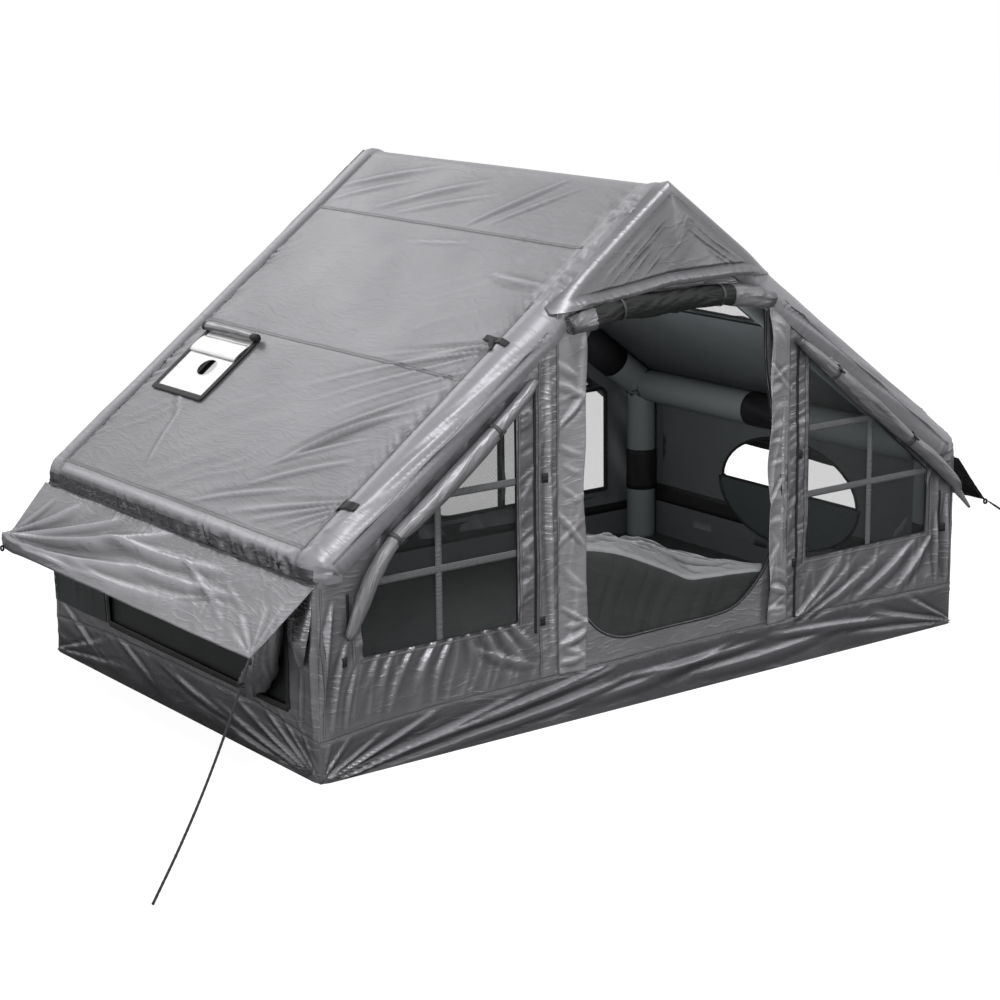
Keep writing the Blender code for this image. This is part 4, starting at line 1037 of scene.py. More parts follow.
groove = calc(stitches, "MULTIPLY", row.outputs[0], -0.8)
stitches.links.new(thread, made.inputs["Thread"])
stitches.links.new(calc(stitches, "MULTIPLY_ADD", thread, 1.4, groove), made.inputs["Height"])


def seam_look(name, dark, light, thread_colour, roughness, metallic, offset, ruche=0.0):
    """A sewn strip: cloth with two rows of stitches, and small gathers across it where it is ruched."""
    look, tree, shader = blank_look(name, Metallic=metallic, Roughness=roughness)
    cut = flat_map(tree)
    folds = use_group(tree, creases, Cloth=cut, Size=0.03)
    sewn = use_group(tree, stitches, Strip=cut, Offset=offset, Length=0.006)
    ground = two_tone(tree, folds.outputs["Patches"], dark, light)
    tree.links.new(two_tone(tree, sewn.outputs["Thread"], ground, thread_colour), shader.inputs["Base Color"])
    rough = wire(tree, "Bump", Strength=1.0, Distance=0.0006, Height=folds.outputs["Height"])
    if ruche:
        laid = wire(tree, "Mapping", Vector=cut, Rotation=(0.0, 0.0, 0.6), Scale=(190.0, 30.0, 1.0))
        ribs = wire(tree, "TexNoise", Vector=laid.outputs[0], Scale=1.0, Detail=2.0)
        rough = wire(
            tree, "Bump", Strength=1.0, Distance=ruche, Height=ribs.outputs["Fac"], Normal=rough.outputs[0],
        )
    bump = wire(
        tree, "Bump", Strength=1.0, Distance=0.0008, Height=sewn.outputs["Height"],
        Normal=rough.outputs["Normal"]
    )
    tree.links.new(bump.outputs["Normal"], shader.inputs["Normal"])
    return look


def add_strip(
        name, path, width, place, relief, look, lift=0.0012, thick=0.0, columns=5, pitch=0.008, gather=0.0,
        **facts):
    """A strip that follows a path over a panel, a little crowned, and ruched where `gather` is given."""
    path = np.asarray(path, float)
    reach = np.concatenate([[0.0], np.cumsum(np.linalg.norm(np.diff(path, axis=0), axis=1))])
    count = max(4, int(reach[-1] / pitch))
    along = np.linspace(0.0, reach[-1], count)
    line = np.stack([np.interp(along, reach, column) for column in path.T], 1)
    run = np.gradient(line, axis=0)
    run /= np.linalg.norm(run, axis=1)[:, None]
    side = np.stack([-run[:, 1], run[:, 0]], 1)
    across = np.linspace(-width / 2, width / 2, columns)
    spots = line[:, None] + side[:, None] * across[None, :, None]
    a, b = spots[..., 0].ravel(), spots[..., 1].ravel()
    u, v = np.broadcast_arrays(along[:, None], across[None, :])
    rise = lift + strip_crown * (1 - (2 * across / width) ** 2)[None, :].repeat(count, 0).ravel()
    if gather:
        rise = rise + gather * (1 + np.sin(2 * np.pi * (u / 0.014 + 0.8 * lumps(u, v, 0.04, 5) + v * 6))).ravel()
    strip = add_piece(
        name, place(a, b, relief(a, b) + rise), grid_faces(count, columns, (1, 2, 3, 0)),
        np.stack([u, v], -1).reshape(-1, 2), look, **facts,
    )
    if thick:
        thicken(strip, thick)
    return strip


def no_relief(a, b):
    return np.zeros_like(a)


strip_crown = 0.0006
lower_run = float(np.interp(-math.radians(18), -arc, section_run))
seam_half = 0.875
hem_seam = 1.998
middle_seam_inside = 1.116
eave_strip_down, eave_strip_width = 1.9735, 0.043
# Painted shade: seams coloured darker than the roof cloth, for the shadow along each join.
shaded_roof_seam_look = seam_look(
    "roof seam with painted shade", (0.185, 0.183, 0.196), (0.235, 0.232, 0.247), (0.12, 0.12, 0.13), 0.42, 0.25, 0.0045,
)
# Painted shade on the eave's turned-down face, darker than the roof cloth.
eave_shade_look = cloth_look(
    "eave strip with painted shade", (0.120, 0.118, 0.127), (0.180, 0.178, 0.189), 0.31, 0.45, 0.0014, size=0.05,
)
for hand, side in hands:
    relief = roof_relief(side)
    for name, down, half in (
        ("upper", upper_seam, seam_half), ("middle", middle_seams[side], seam_half),
        ("eave", eave_seam, seam_half),
        ("hem", hem_seam, 0.99),
    ):
        add_strip(
            f"roof_seam_{name}_{hand}", [(-half, down), (half, down)], 0.014, on_roof(side), relief,
            shaded_roof_seam_look,
            slot="roof_cloth",
        )
    # Painted shade: a darker strip over the eave's turned-down face, where the cloth faces away from the light.
    add_strip(
        f"eave_strip_{hand}", [(-0.985, eave_strip_down), (0.985, eave_strip_down)], eave_strip_width,
        on_roof(side),
        relief, eave_shade_look, lift=0.0010, columns=9, slot="roof_cloth",
    )
    for end, way in ends:
        for name, run, top, bottom, width in (
            ("sleeve", sleeve_seam, 0.66 if way < 0 else 0.05, 1.90, 0.011),
            ("sleeve_lower", lower_run, 0.74, 1.88, 0.008),
        ):
            add_strip(
                f"roof_{name}_seam_{end}_{hand}", [(way * run, top), (way * run, bottom)], width,
                on_roof(side), relief,
                shaded_roof_seam_look, slot="roof_cloth",
            )

# Inside, the right slope's seams show as dark bound edges.
for k, down in enumerate((middle_seam_inside, upper_seam)):
    add_strip(
        f"inner_roof_seam_{k}", [(0.93, down), (-0.93, down)], 0.016,
        lambda a, b, lift: on_roof(1)(a, b, -0.0118 - lift), no_relief, band_look, lift=0.0, thick=0.0008,
        pitch=0.03,
        slot="black_webbing",
    )

# Floor tub: heavier dark-grey cloth, turned up all round into a skirt that is sewn to the walls. It is
# pulled tight at its corners, from where long silky folds run out. A nearly black sheet lies inside.
wall_dark = (0.255, 0.252, 0.268)
wall_light = (0.335, 0.331, 0.351)
skirt_dark = (0.175, 0.172, 0.185)
skirt_light = (0.235, 0.232, 0.247)
wall_look = cloth_look("wall cloth", wall_dark, wall_light, 0.30, 0.65, 0.0009, size=0.07)
skirt_look = cloth_look("skirt cloth", skirt_dark, skirt_light, 0.29, 0.68, 0.0011, size=0.09)
ground_look = cloth_look(
    "floor cloth", (0.020, 0.024, 0.024), (0.034, 0.039, 0.039), 0.50, 0.0, 0.0015, size=0.35,
)
wall_seam_look = seam_look(
    "wall seam", (0.205, 0.202, 0.216), (0.275, 0.272, 0.290), (0.06, 0.06, 0.065), 0.42, 0.25, 0.0045,
)
corner_round = 0.045
back_seam = 0.170
side_seeds = {-1: 201, 1: 251}
seam_line = np.array([
    (-1.55, 0.142), (-1.30, 0.168), (-1.05, 0.180), (-0.40, 0.188), (0.20, 0.192), (1.00, 0.186),
    (1.55, 0.170),
])


def tuck(along, reach):
    """How far cloth is drawn in towards the leg, near an upright corner of the tent."""
    t = np.clip((np.abs(along) - reach + corner_round) / corner_round, 0, 1)
    return 0.29 * corner_round * t * t


def on_front(a, b, lift):
    """Places on the front wall: metres to the right, up, and off its cloth."""
    inwards = tuck(a, half_width)
    return np.stack([a - np.sign(a) * inwards, -half_depth - lift + inwards, b], 1)


def on_back(a, b, lift):
    inwards = tuck(a, half_width)
    return np.stack([a - np.sign(a) * inwards, half_depth + lift - inwards, b], 1)


def on_side(side):
    def place(a, b, lift):
        inwards = tuck(a, half_depth)
        return np.stack([side * (half_width + lift - inwards), a - np.sign(a) * inwards, b], 1)
    return place


def front_seam(x):
    return np.interp(x, seam_line[:, 0], seam_line[:, 1])


def side_seam(y):
    return np.interp(y, [-1.0, -0.6, 0.5, 1.0], [0.142, 0.190, 0.180, 0.150])


front_runs = [
    ((-1.530, 0.010), (-1.030, 0.176), 0.014, 0.0259, 0.004, "start"),
    ((-1.525, 0.004), (-0.660, 0.160), 0.015, 0.0276, 0.006, "start"),
    ((-1.525, 0.000), (-0.820, 0.105), 0.014, 0.0190, 0.004, "start"),
    ((-1.515, -0.010), (-0.700, 0.060), 0.014, 0.0138, 0.004, "start"),
    ((-1.540, 0.010), (-1.260, 0.150), 0.010, 0.0155, 0.002, "start"),
    ((-1.545, 0.010), (-1.420, 0.150), 0.008, 0.0138, 0.000, "start"),
    ((-1.548, 0.000), (-1.500, 0.150), 0.007, 0.0103, 0.000, "start"),
    ((-1.250, 0.055), (-0.240, 0.168), 0.015, 0.0172, 0.008),
    ((-1.000, 0.040), (-0.150, 0.120), 0.016, 0.0121, 0.008),
    ((-0.900, 0.100), (-0.300, 0.178), 0.011, 0.0138, 0.004),
    ((-0.450, 0.060), (0.350, 0.150), 0.021, 0.0103, 0.010),
    ((-0.250, 0.120), (0.500, 0.130), 0.016, 0.0103, 0.010),
    ((0.100, 0.060), (0.900, 0.105), 0.023, 0.0103, 0.010),
    ((0.500, 0.140), (1.250, 0.080), 0.018, 0.0103, -0.008),
    ((1.540, 0.010), (1.050, 0.130), 0.014, 0.0155, -0.004, "start"),
    ((1.540, 0.010), (1.250, 0.160), 0.011, 0.0138, 0.000, "start"),
    ((1.540, 0.005), (0.900, 0.060), 0.014, 0.0121, 0.000, "start"),
    ((-1.290, 0.425), (-1.400, 0.190), 0.022, 0.0068, 0.004, "start"),
    ((-1.230, 0.425), (-1.335, 0.185), 0.022, 0.0086, 0.004, "start"),
    ((-1.150, 0.422), (-1.265, 0.195), 0.023, 0.0104, 0.006, "start"),
    ((-1.060, 0.420), (-1.175, 0.205), 0.025, 0.0114, 0.006, "start"),
    ((-0.990, 0.420), (-1.080, 0.200), 0.023, 0.0098, 0.006, "start"),
    ((-0.930, 0.425), (-0.840, 0.205), 0.028, 0.0074, -0.006, "start"),
    ((-0.870, 0.430), (-0.740, 0.220), 0.026, 0.0098, -0.006, "start"),
    ((-0.810, 0.432), (-0.650, 0.235), 0.026, 0.0109, -0.006, "start"),
    ((-0.750, 0.430), (-0.580, 0.260), 0.025, 0.0091, -0.004, "start"),
    ((-0.900, 0.360), (-0.610, 0.240), 0.017, 0.0071, 0.004),
    ((-1.475, 0.640), (-1.527, 0.240), 0.013, 0.0170, 0.010),
    ((-1.512, 0.560), (-1.538, 0.190), 0.009, 0.0130, 0.004),
    ((-1.420, 0.500), (-1.492, 0.165), 0.013, 0.0140, 0.010),
    ((-1.385, 0.400), (-1.440, 0.165), 0.011, 0.0110, 0.006),
    ((0.640, 0.180), (0.900, 0.400), 0.025, 0.0156, 0.008, "start"),
    ((0.660, 0.180), (1.020, 0.405), 0.025, 0.0146, 0.010, "start"),
    ((0.720, 0.180), (1.180, 0.400), 0.026, 0.0128, 0.010, "start"),
    ((0.950, 0.190), (1.330, 0.410), 0.025, 0.0118, 0.008),
    ((1.180, 0.190), (1.430, 0.420), 0.023, 0.0128, 0.006),
    ((1.490, 0.560), (1.500, 0.180), 0.014, 0.0252, 0.004),
    ((1.430, 0.500), (1.440, 0.180), 0.011, 0.0177),
    ((-0.560, 1.400), (-0.540, 0.250), 0.014, 0.0112, 0.004),
    ((0.575, 1.300), (0.570, 0.250), 0.014, 0.0131, 0.004),
    ((0.700, 1.290), (1.300, 0.820), 0.016, 0.0131, 0.004),
    ((-0.700, 1.330), (-1.350, 0.790), 0.016, 0.0112, 0.004),
]


def front_relief(x, z):
    """Slack, folds and gathers of the whole front wall, skirt and all."""
    height = 0.0040 * lumps(x, z, 0.30, 101) + 0.0018 * lumps(x, z, 0.11, 102)
    on_wall = ramp(z, 0.17, 0.22)
    height += on_wall * 0.0036 * grain(x, z, 1.35, 0.34, 0.050, 103) * ramp(np.abs(x), 0.40, 0.60)
    height += folds(x, z, front_runs)
    seam = front_seam(x)
    height += puckers(x, z - seam, 0.032, 0.020, 0.0022, 104)
    height -= 0.0030 * np.exp(-((z - seam) / 0.006) ** 2)
    for spot, half, low, high, strength in (
        (-0.662, 0.034, 0.36, 1.27, 0.0042), (0.672, 0.028, 0.30, 1.27, 0.0030),
        (-0.600, 0.020, 0.20, 1.40, 0.0014),
        (-0.530, 0.040, 0.20, 1.42, 0.0016), (0.615, 0.030, 0.18, 1.40, 0.0024),
        (-1.385, 0.020, 0.40, 0.64, 0.0024),
    ):
        inside = ramp(z, low, low + 0.03) * (1 - ramp(z, high - 0.03, high))
        inside *= ramp(half - np.abs(x - spot), -0.006, 0.012)
        height += strength * grain(x, z, 0.45, 0.12, 0.024, 105) * inside
    edge = np.minimum(half_width - np.abs(x), z * 1.2)
    height *= ramp(edge, 0.0, 0.020)
    below = (peak - z) * math.cos(slope) - np.abs(x) * math.sin(slope)
    height *= ramp(below, 0.060, 0.115)
    return above(height, 0.0055)


def skirt_outline(first, last, seam):
    spots = np.linspace(first, last, 40)
    return [(first, 0.0), (last, 0.0)] + [(spot, seam(spot)) for spot in spots[::-1]]


side_runs = [
    ((-0.985, 0.010), (-0.420, 0.185), 0.012, 0.0203, 0.006, "start"),
    ((-0.985, 0.006), (-0.260, 0.130), 0.013, 0.0159, 0.006, "start"),
    ((-0.985, 0.014), (-0.600, 0.215), 0.011, 0.0188, 0.004, "start"),
    ((-0.985, 0.020), (-0.720, 0.225), 0.010, 0.0145, 0.002, "start"),
    ((-0.990, 0.020), (-0.840, 0.240), 0.008, 0.0101, 0.000, "start"),
    ((-0.985, 0.000), (-0.150, 0.070), 0.013, 0.0116, 0.004, "start"),
    ((-0.400, 0.080), (0.150, 0.170), 0.014, 0.0072, 0.006),
    ((0.980, 0.010), (0.520, 0.150), 0.013, 0.0108, -0.004, "start"),
    ((0.980, 0.010), (0.300, 0.080), 0.014, 0.0096, -0.004, "start"),
    ((0.950, 0.230), (0.600, 0.060), 0.014, 0.0096, 0.004),
    ((0.500, 0.200), (0.150, 0.060), 0.014, 0.0072, 0.004),
    ((-0.975, 0.640), (-0.965, 0.150), 0.010, 0.0116),
    ((-0.900, 0.400), (-0.880, 0.160), 0.010, 0.0072),
    ((0.960, 0.650), (0.955, 0.150), 0.012, 0.0084),
    ((0.800, 0.600), (0.780, 0.230), 0.016, 0.0060),
    ((0.640, 0.560), (0.650, 0.200), 0.014, 0.0048),
]


def side_relief(side):
    """Slack, folds and gathers of one side wall, skirt and all."""
    seed = side_seeds[side]

    def relief(y, z):
        height = 0.0040 * lumps(y, z, 0.32, seed) + 0.0016 * lumps(y, z, 0.10, seed + 1)
        height += 0.0022 * grain(y, z, 0.25, 0.30, 0.045, seed + 2)
        height += folds(y, z, side_runs)
        height += puckers(y, z - side_seam(y), 0.034, 0.022, 0.0022, seed + 3)
        height += puckers(y, z - 0.205, 0.026, 0.020, 0.0022, seed + 4) * (y > -0.86) * (y < 0.56)
        height -= 0.0030 * np.exp(-((z - side_seam(y)) / 0.006) ** 2)
        edge = np.minimum(half_depth - np.abs(y), z * 1.2)
        return above(height * ramp(edge, 0.0, 0.020), 0.0055)
    return relief


def back_relief(a, b):
    """Slack, folds and gathers of the back wall, skirt and all."""
    height = 0.0040 * lumps(a, b, 0.34, 301) + 0.0016 * lumps(a, b, 0.12, 302)
    height += 0.0030 * grain(a, b, 1.45, 0.35, 0.055, 303)
    height += fan(a, b, (-1.53, 0.01), 4, 80, 8, 0.7, 0.012, 0.010, 304)
    height += fan(a, b, (1.53, 0.01), 100, 176, 8, 0.7, 0.012, 0.010, 305)
    height += puckers(a, b - back_seam, 0.034, 0.022, 0.0022, 306)
    height -= 0.0030 * np.exp(-((b - back_seam) / 0.006) ** 2)
    edge = np.minimum(half_width - np.abs(a), b * 1.2)
    return above(height * ramp(edge, 0.0, 0.020), 0.0055)


for name, place, relief, reach, seam, pitch in (
    ("front", on_front, front_relief, half_width, front_seam, 0.0075),
    ("back", on_back, back_relief, half_width, lambda x: back_seam + 0 * x, 0.012),
    ("left", on_side(-1), side_relief(-1), half_depth, side_seam, 0.0085),
    ("right", on_side(1), side_relief(1), half_depth, side_seam, 0.010),
):
    skirt = add_panel(
        f"skirt_{name}", skirt_outline(-reach, reach, seam), [], pitch, place, relief,
        [skirt_look, lining_look],
        slot="tub_cloth",
    )
    spots = np.linspace(-reach, reach, 60)
    add_strip(
        f"skirt_seam_{name}", [(spot, seam(spot)) for spot in spots], 0.013, place, relief, wall_seam_look,
        lift=0.0016, slot="tub_cloth",
    )
    if name == "front":
        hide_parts("floor_tub")


def on_floor(a, b, lift):
    return np.stack([a, b, 0.0045 + lift], 1)


def floor_relief(a, b):
    height = 0.0040 * lumps(a, b, 0.45, 401) + 0.0030 * grain(a, b, 0.5, 0.7, 0.12, 402)
    return np.maximum(height + 0.002, 0.0)


half_in, deep_in = half_width - 0.005, half_depth - 0.005
floor_outline = [(-half_in, -deep_in), (half_in, -deep_in), (half_in, deep_in), (-half_in, deep_in)]
add_panel("ground_sheet", floor_outline, [], 0.03, on_floor, floor_relief, [ground_look], slot="floor_cloth")
add_panel(
    "ground_sheet_underside", floor_outline, [], 0.25, lambda a, b, lift: np.stack([a, -b, 0.0008 - lift], 1),
    no_relief, [skirt_look], slot="tub_cloth",
)

# Front wall: a door panel between two window panels of the same cloth, sewn together under the roof's
# front edge. The door panel's colour is painted lighter, for the light that falls near the doorway. The
# doorway runs down to a wide curve, with a black zip round its edge.
# Painted light: the door panel is coloured lighter than the window panels' cloth.
lit_door_look = cloth_look(
    "door panel cloth painted lighter", (0.310, 0.307, 0.325), (0.400, 0.396, 0.417), 0.31, 0.55, 0.0012, size=0.06,
)
door_top = 1.490
door_seam_x = 0.600
doorway_right = smooth_line([
    (0.100, 0.2765), (0.220, 0.2780), (0.335, 0.2960), (0.430, 0.3600), (0.500, 0.4520), (0.538, 0.5500),
    (0.551, 0.6800), (0.543, 0.8200), (0.520, 0.9700), (0.492, 1.1200), (0.474, 1.2600), (0.470, door_top),
], 44)
angle = np.linspace(np.pi, 1.5 * np.pi, 14)
doorway_left = np.stack([-0.180 + 0.250 * np.cos(angle), 0.525 + 0.250 * np.sin(angle)], 1)
doorway = np.vstack([[(-0.430, door_top)], doorway_left, doorway_right])
window = [(0.705, 0.420), (1.365, 0.420), (1.365, 0.680), (0.705, 1.220)]
half_wall = half_width - 0.001


def under_roof(x):
    """Height at which the front wall is sewn in under the roof's sleeve."""
    return peak - abs(x) * math.tan(slope) - 0.062 / math.cos(slope)


def wall_piece(first, last, seam, top):
    """Outline between two x places, from the skirt's seam up to the roof."""
    return [(spot, float(seam(spot))) for spot in np.linspace(first, last, 16)] + top


wall = add_panel(
    "front_door_wall",
    wall_piece(
        -door_seam_x, door_seam_x, front_seam, [(x, under_roof(x)) for x in (door_seam_x, 0.0, -door_seam_x)],
    ),
    [doorway], 0.0075, on_front, front_relief, [lit_door_look, lining_look], slot="wall_cloth",
)
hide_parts("front_door_panel")
for hand, side in hands:
    outline = wall_piece(
        door_seam_x, half_wall, lambda x: front_seam(side * x),
        [(half_wall, 0.700), (1.480, 0.745), (door_seam_x, under_roof(door_seam_x))],
    )
    wall = add_panel(
        f"front_window_wall_{hand}", np.array(outline) * (side, 1),
        [rounded(window, 0.008, steps=3) * (side, 1)],
        0.0075, on_front, front_relief, [wall_look, lining_look], slot="wall_cloth",
    )
    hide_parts(f"front_window_panel_{hand}")

# Windows of the front wall: dark insect mesh sewn behind the wall and crossed by ruched grey straps,
# with a black piping round the opening.
mesh_look, tree, shader = blank_look("insect mesh", Roughness=0.55)
net = use_group(tree, weave, Cloth=flat_map(tree), Pitch=0.0022)
colour = two_tone(tree, net.outputs["Height"], (0.006, 0.007, 0.007), (0.020, 0.022, 0.023))
tree.links.new(colour, shader.inputs["Base Color"])
cover = wire(
    tree, "MapRange", Value=net.outputs["Height"], From_Min=0.25, From_Max=0.75, To_Min=0.28, To_Max=0.64,
)
tree.links.new(cover.outputs[0], shader.inputs["Alpha"])
strap_look = seam_look(
    "grey webbing", (0.150, 0.153, 0.160), (0.230, 0.235, 0.243), (0.10, 0.10, 0.105), 0.50, 0.2, 0.010,
    ruche=0.0035,
)
piping_look = cloth_look(
    "black piping", (0.005, 0.005, 0.006), (0.014, 0.014, 0.015), 0.55, 0.0, 0.0003, size=0.02,
)
net_margin = -0.014


def inset(corners, offset):
    """Corners of a convex outline moved inwards along both edges that meet there."""
    moved = []
    middle = np.mean(corners, 0)
    for i, corner in enumerate(corners):
        corner = np.array(corner, float)
        lines = []
        for one, other in ((corners[i - 1], corner), (corner, corners[(i + 1) % len(corners)])):
            run = (np.array(other) - one) / np.linalg.norm(np.array(other) - one)
            normal = np.array([-run[1], run[0]])
            if normal.dot(middle - one) < 0:
                normal = -normal
            lines.append((normal, normal.dot(one) + offset))
        moved.append(tuple(np.linalg.solve([lines[0][0], lines[1][0]], [lines[0][1], lines[1][1]])))
    return moved


def add_net(name, outline, place, lift, node):
    """A flat sheet of insect mesh behind an opening."""
    flat, faces = cut_cloth(outline, [], 0.05)
    skin = place(flat[:, 0], flat[:, 1], np.full(len(flat), lift))
    net = add_piece(name, skin, facing_out(flat, faces, place), flat, mesh_look, slot="mesh_cloth")
    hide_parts(node)


def add_piping(name, outline, place, lift, radius):
    """A black cord sewn round an outline."""
    loop = evenly(outline, 0.02)
    loop = np.vstack([loop, loop[:1]])
    path = place(loop[:, 0], loop[:, 1], np.full(len(loop), lift))
    add_tube(name, path, radius, piping_look, sides=8, slot="black_webbing")


for hand, side in hands:
    net_outline = np.array(inset(window, net_margin)) * (side, 1)
    add_net(f"front_net_{hand}", net_outline, on_front, -0.0100, f"front_window_mesh_{hand}")
    add_piping(
        f"front_window_piping_{hand}", rounded(window, 0.008, steps=3) * (side, 1), on_front, 0.0010, 0.0018,
    )
    for label, one, other in (
        ("upright", (1.042, 0.405), (1.042, 0.958)), ("upper", (0.695, 0.935), (1.070, 0.935)),
        ("lower", (0.695, 0.675), (1.375, 0.675)),
    ):
        strap = add_strip(
            f"front_strap_{label}_{hand}", [(side * one[0], one[1]), (side * other[0], other[1])], 0.027,
            on_front,
            no_relief, strap_look, lift=-0.0035, thick=0.0010, gather=0.0009, pitch=0.004,
            slot="grey_webbing",
        )
        if label == "upright":
            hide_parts(f"front_window_straps_{hand}")

# Back wall: one panel of wall cloth with a large mesh window on each side of the middle. Sewn bars
# cross each window and leave four panes, whose edges are bound in black.
back_left, back_right, back_low, back_high, back_shoulder = 0.250, 1.310, 0.245, 1.480, 0.700
back_window = [(back_left, back_low), (back_right, back_low), (back_right, back_shoulder), (back_left, back_high)]
bar_x, bar_z, bar_half = 0.700, 0.735, 0.011
bar_left, bar_right, bar_low, bar_high = bar_x - bar_half, bar_x + bar_half, bar_z - bar_half, bar_z + bar_half


def back_slope(x):
    """Height of the back window's slanting edge."""
    return back_high + (back_shoulder - back_high) * (x - back_left) / (back_right - back_left)


panes = [
    [(back_left, back_low), (bar_left, back_low), (bar_left, bar_low), (back_left, bar_low)],
    [
        (bar_right, back_low), (back_right, back_low), (back_right, back_shoulder), (1.295, bar_low),
        (bar_right, bar_low),
    ],
    [(back_left, bar_high), (bar_left, bar_high), (bar_left, back_slope(bar_left)), (back_left, back_high)],
    [(bar_right, bar_high), (1.245, bar_high), (bar_right, back_slope(bar_right))],
]
pane_rounds = ((0.165, 0.010, 0.010, 0.040), 0.010, 0.012, 0.010)
pane_outlines = {side: [rounded(*pane) * (side, 1) for pane in zip(panes, pane_rounds)] for hand, side in hands}
back_frames = np.vstack([np.array(back_window) * (side, 1) for hand, side in hands])


def back_drape(a, b):
    """How far the lining hangs away from the back wall between its windows."""
    slack = 0.014 * (1 + grain(a, b, 2.15, 0.55, 0.085, 311))
    return slack * ramp(distance(np.stack([a, b], 1), back_frames), 0.0, 0.08)


wall = add_panel(
    "back_wall_cloth",
    [(-half_wall, 0.170), (half_wall, 0.170), (half_wall, 0.735), (0.0, peak - 0.016), (-half_wall, 0.735)],
    pane_outlines[-1] + pane_outlines[1], 0.012, on_back, back_relief, [wall_look, lining_look],
    slot="wall_cloth",
    lining_pitch=0.018, drape=back_drape,
)
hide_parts("back_wall")
for hand, side in hands:
    net_outline = np.array(inset(back_window, net_margin)) * (side, 1)
    add_net(f"back_net_{hand}", net_outline, on_back, -0.0105, f"back_window_mesh_{hand}")
    for k, outline in enumerate(pane_outlines[side]):
        add_piping(f"back_window_piping_{hand}_{k}", outline, on_back, -0.0085, 0.0085)

# Side walls: a low wide window in each, bound in black, and behind it an inner panel with a half-oval
# way through. Behind the window's back end, a dark sheet on the wall paints the awning's shade there.
side_window = [(-0.810, 0.226), (0.510, 0.226), (0.510, 0.590), (-0.810, 0.590)]
side_panel = [(-0.840, 0.090), (0.840, 0.090), (0.840, 0.655), (-0.840, 0.655)]
painted_shade_patch = [(0.535, 0.222), (0.985, 0.222), (0.985, 0.630), (0.535, 0.630)]
valve_spot = (-0.9217, 0.500)
oval_y, oval_z = -0.010, 0.375
night_look = cloth_look(
    "near-black panel", (0.004, 0.005, 0.006), (0.009, 0.011, 0.012), 0.55, 0.0, 0.0008, size=0.2,
)
# Dark cloth for the half discs behind the inner panels, and painted awning shade on the walls' patches.
dark_cloth_and_shade_look = cloth_look(
    "dark cloth and painted shade", (0.026, 0.032, 0.034), (0.040, 0.048, 0.050), 0.50, 0.0, 0.0010, size=0.2,
)
angle = np.linspace(0, np.pi, 25)
half_oval = np.stack([oval_y + 0.430 * np.cos(angle), oval_z + 0.235 * np.sin(angle)], 1)
lower_oval = np.stack([oval_y + 0.445 * np.cos(angle), oval_z - 0.250 * np.sin(angle)], 1)
half_disc = np.vstack([lower_oval, [(0.435, oval_z)]])[::-1]
for hand, side in hands:
    place = on_side(side)
    relief = side_relief(side)
    spots = np.linspace(-half_depth, half_depth, 30)
    outline = [(spot, float(side_seam(spot))) for spot in spots] + [(half_depth, 0.703), (-half_depth, 0.703)]
    holes = [rounded(side_window, 0.030)]
    if side < 0:
        holes.append(ring(valve_spot, 0.030, 20))
    wall = add_panel(
        f"side_wall_{hand}_cloth", outline, holes, 0.0095, place, relief, [wall_look, lining_look],
        slot="wall_cloth",
    )
    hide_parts(f"side_wall_{hand}")
    for k in range(4):
        add_strip(
            f"side_window_binding_{hand}_{k}", [side_window[k], side_window[(k + 1) % 4]], 0.024, place,
            relief,
            band_look, lift=0.0022, thick=0.0010, slot="black_webbing",
        )
    add_strip(
        f"side_wall_band_{hand}", [(-0.995, 0.694), (0.995, 0.694)], 0.016, place, relief, wall_seam_look,
        lift=0.0025,
        slot="wall_cloth",
    )
    # Painted shade: a dark sheet where the awning's shadow falls on the wall.
    add_panel(
        f"awning_shade_panel_{hand}", painted_shade_patch, [], 0.02, place, lambda a, b: relief(a, b) + 0.0025,
        [dark_cloth_and_shade_look], slot="wall_cloth",
    )
    inner = add_panel(
        f"side_inner_panel_{hand}_cloth", rounded(side_panel, 0.030), [half_oval], 0.03,
        lambda a, b, lift: place(a, b, lift - 0.0115), lambda a, b: 0.0015 * lumps(a, b, 0.2, 260),
        [night_look if side < 0 else lining_look], slot="wall_cloth",
    )
    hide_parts(f"side_inner_panel_{hand}")
    add_piping(f"side_oval_piping_{hand}", half_oval, place, -0.0115, 0.0065)
    low_path = place(lower_oval[:, 0], lower_oval[:, 1], np.full(25, -0.0165))
    add_tube(f"side_oval_binding_{hand}", low_path, 0.0055, piping_look, sides=8, slot="black_webbing")
    add_panel(
        f"side_half_disc_{hand}", half_disc, [], 0.03, lambda a, b, lift: place(a, b, -0.0145 - lift),
        lambda a, b: 0.0015 * lumps(a, b, 0.15, 262), [dark_cloth_and_shade_look], slot="wall_cloth",
    )

# Foot bands: black webbing sewn on inside, along the foot of the right and back walls and of the back
# part of the left one. They show through the door and the windows.
for name, wall_side, path in (
    ("right", on_side(1), [(-0.98, 0.215), (0.98, 0.215)]),
    ("back", on_back, [(1.53, 0.170), (-1.53, 0.170)]),
    ("left", on_side(-1), [(0.98, 0.170), (0.56, 0.170)]),
):
    add_strip(
        f"foot_band_{name}", path, 0.085, lambda a, b, lift: wall_side(a, b, -0.0125 - lift), no_relief,
        band_look,
        lift=0.0, thick=0.0010, pitch=0.03, slot="black_webbing",
    )

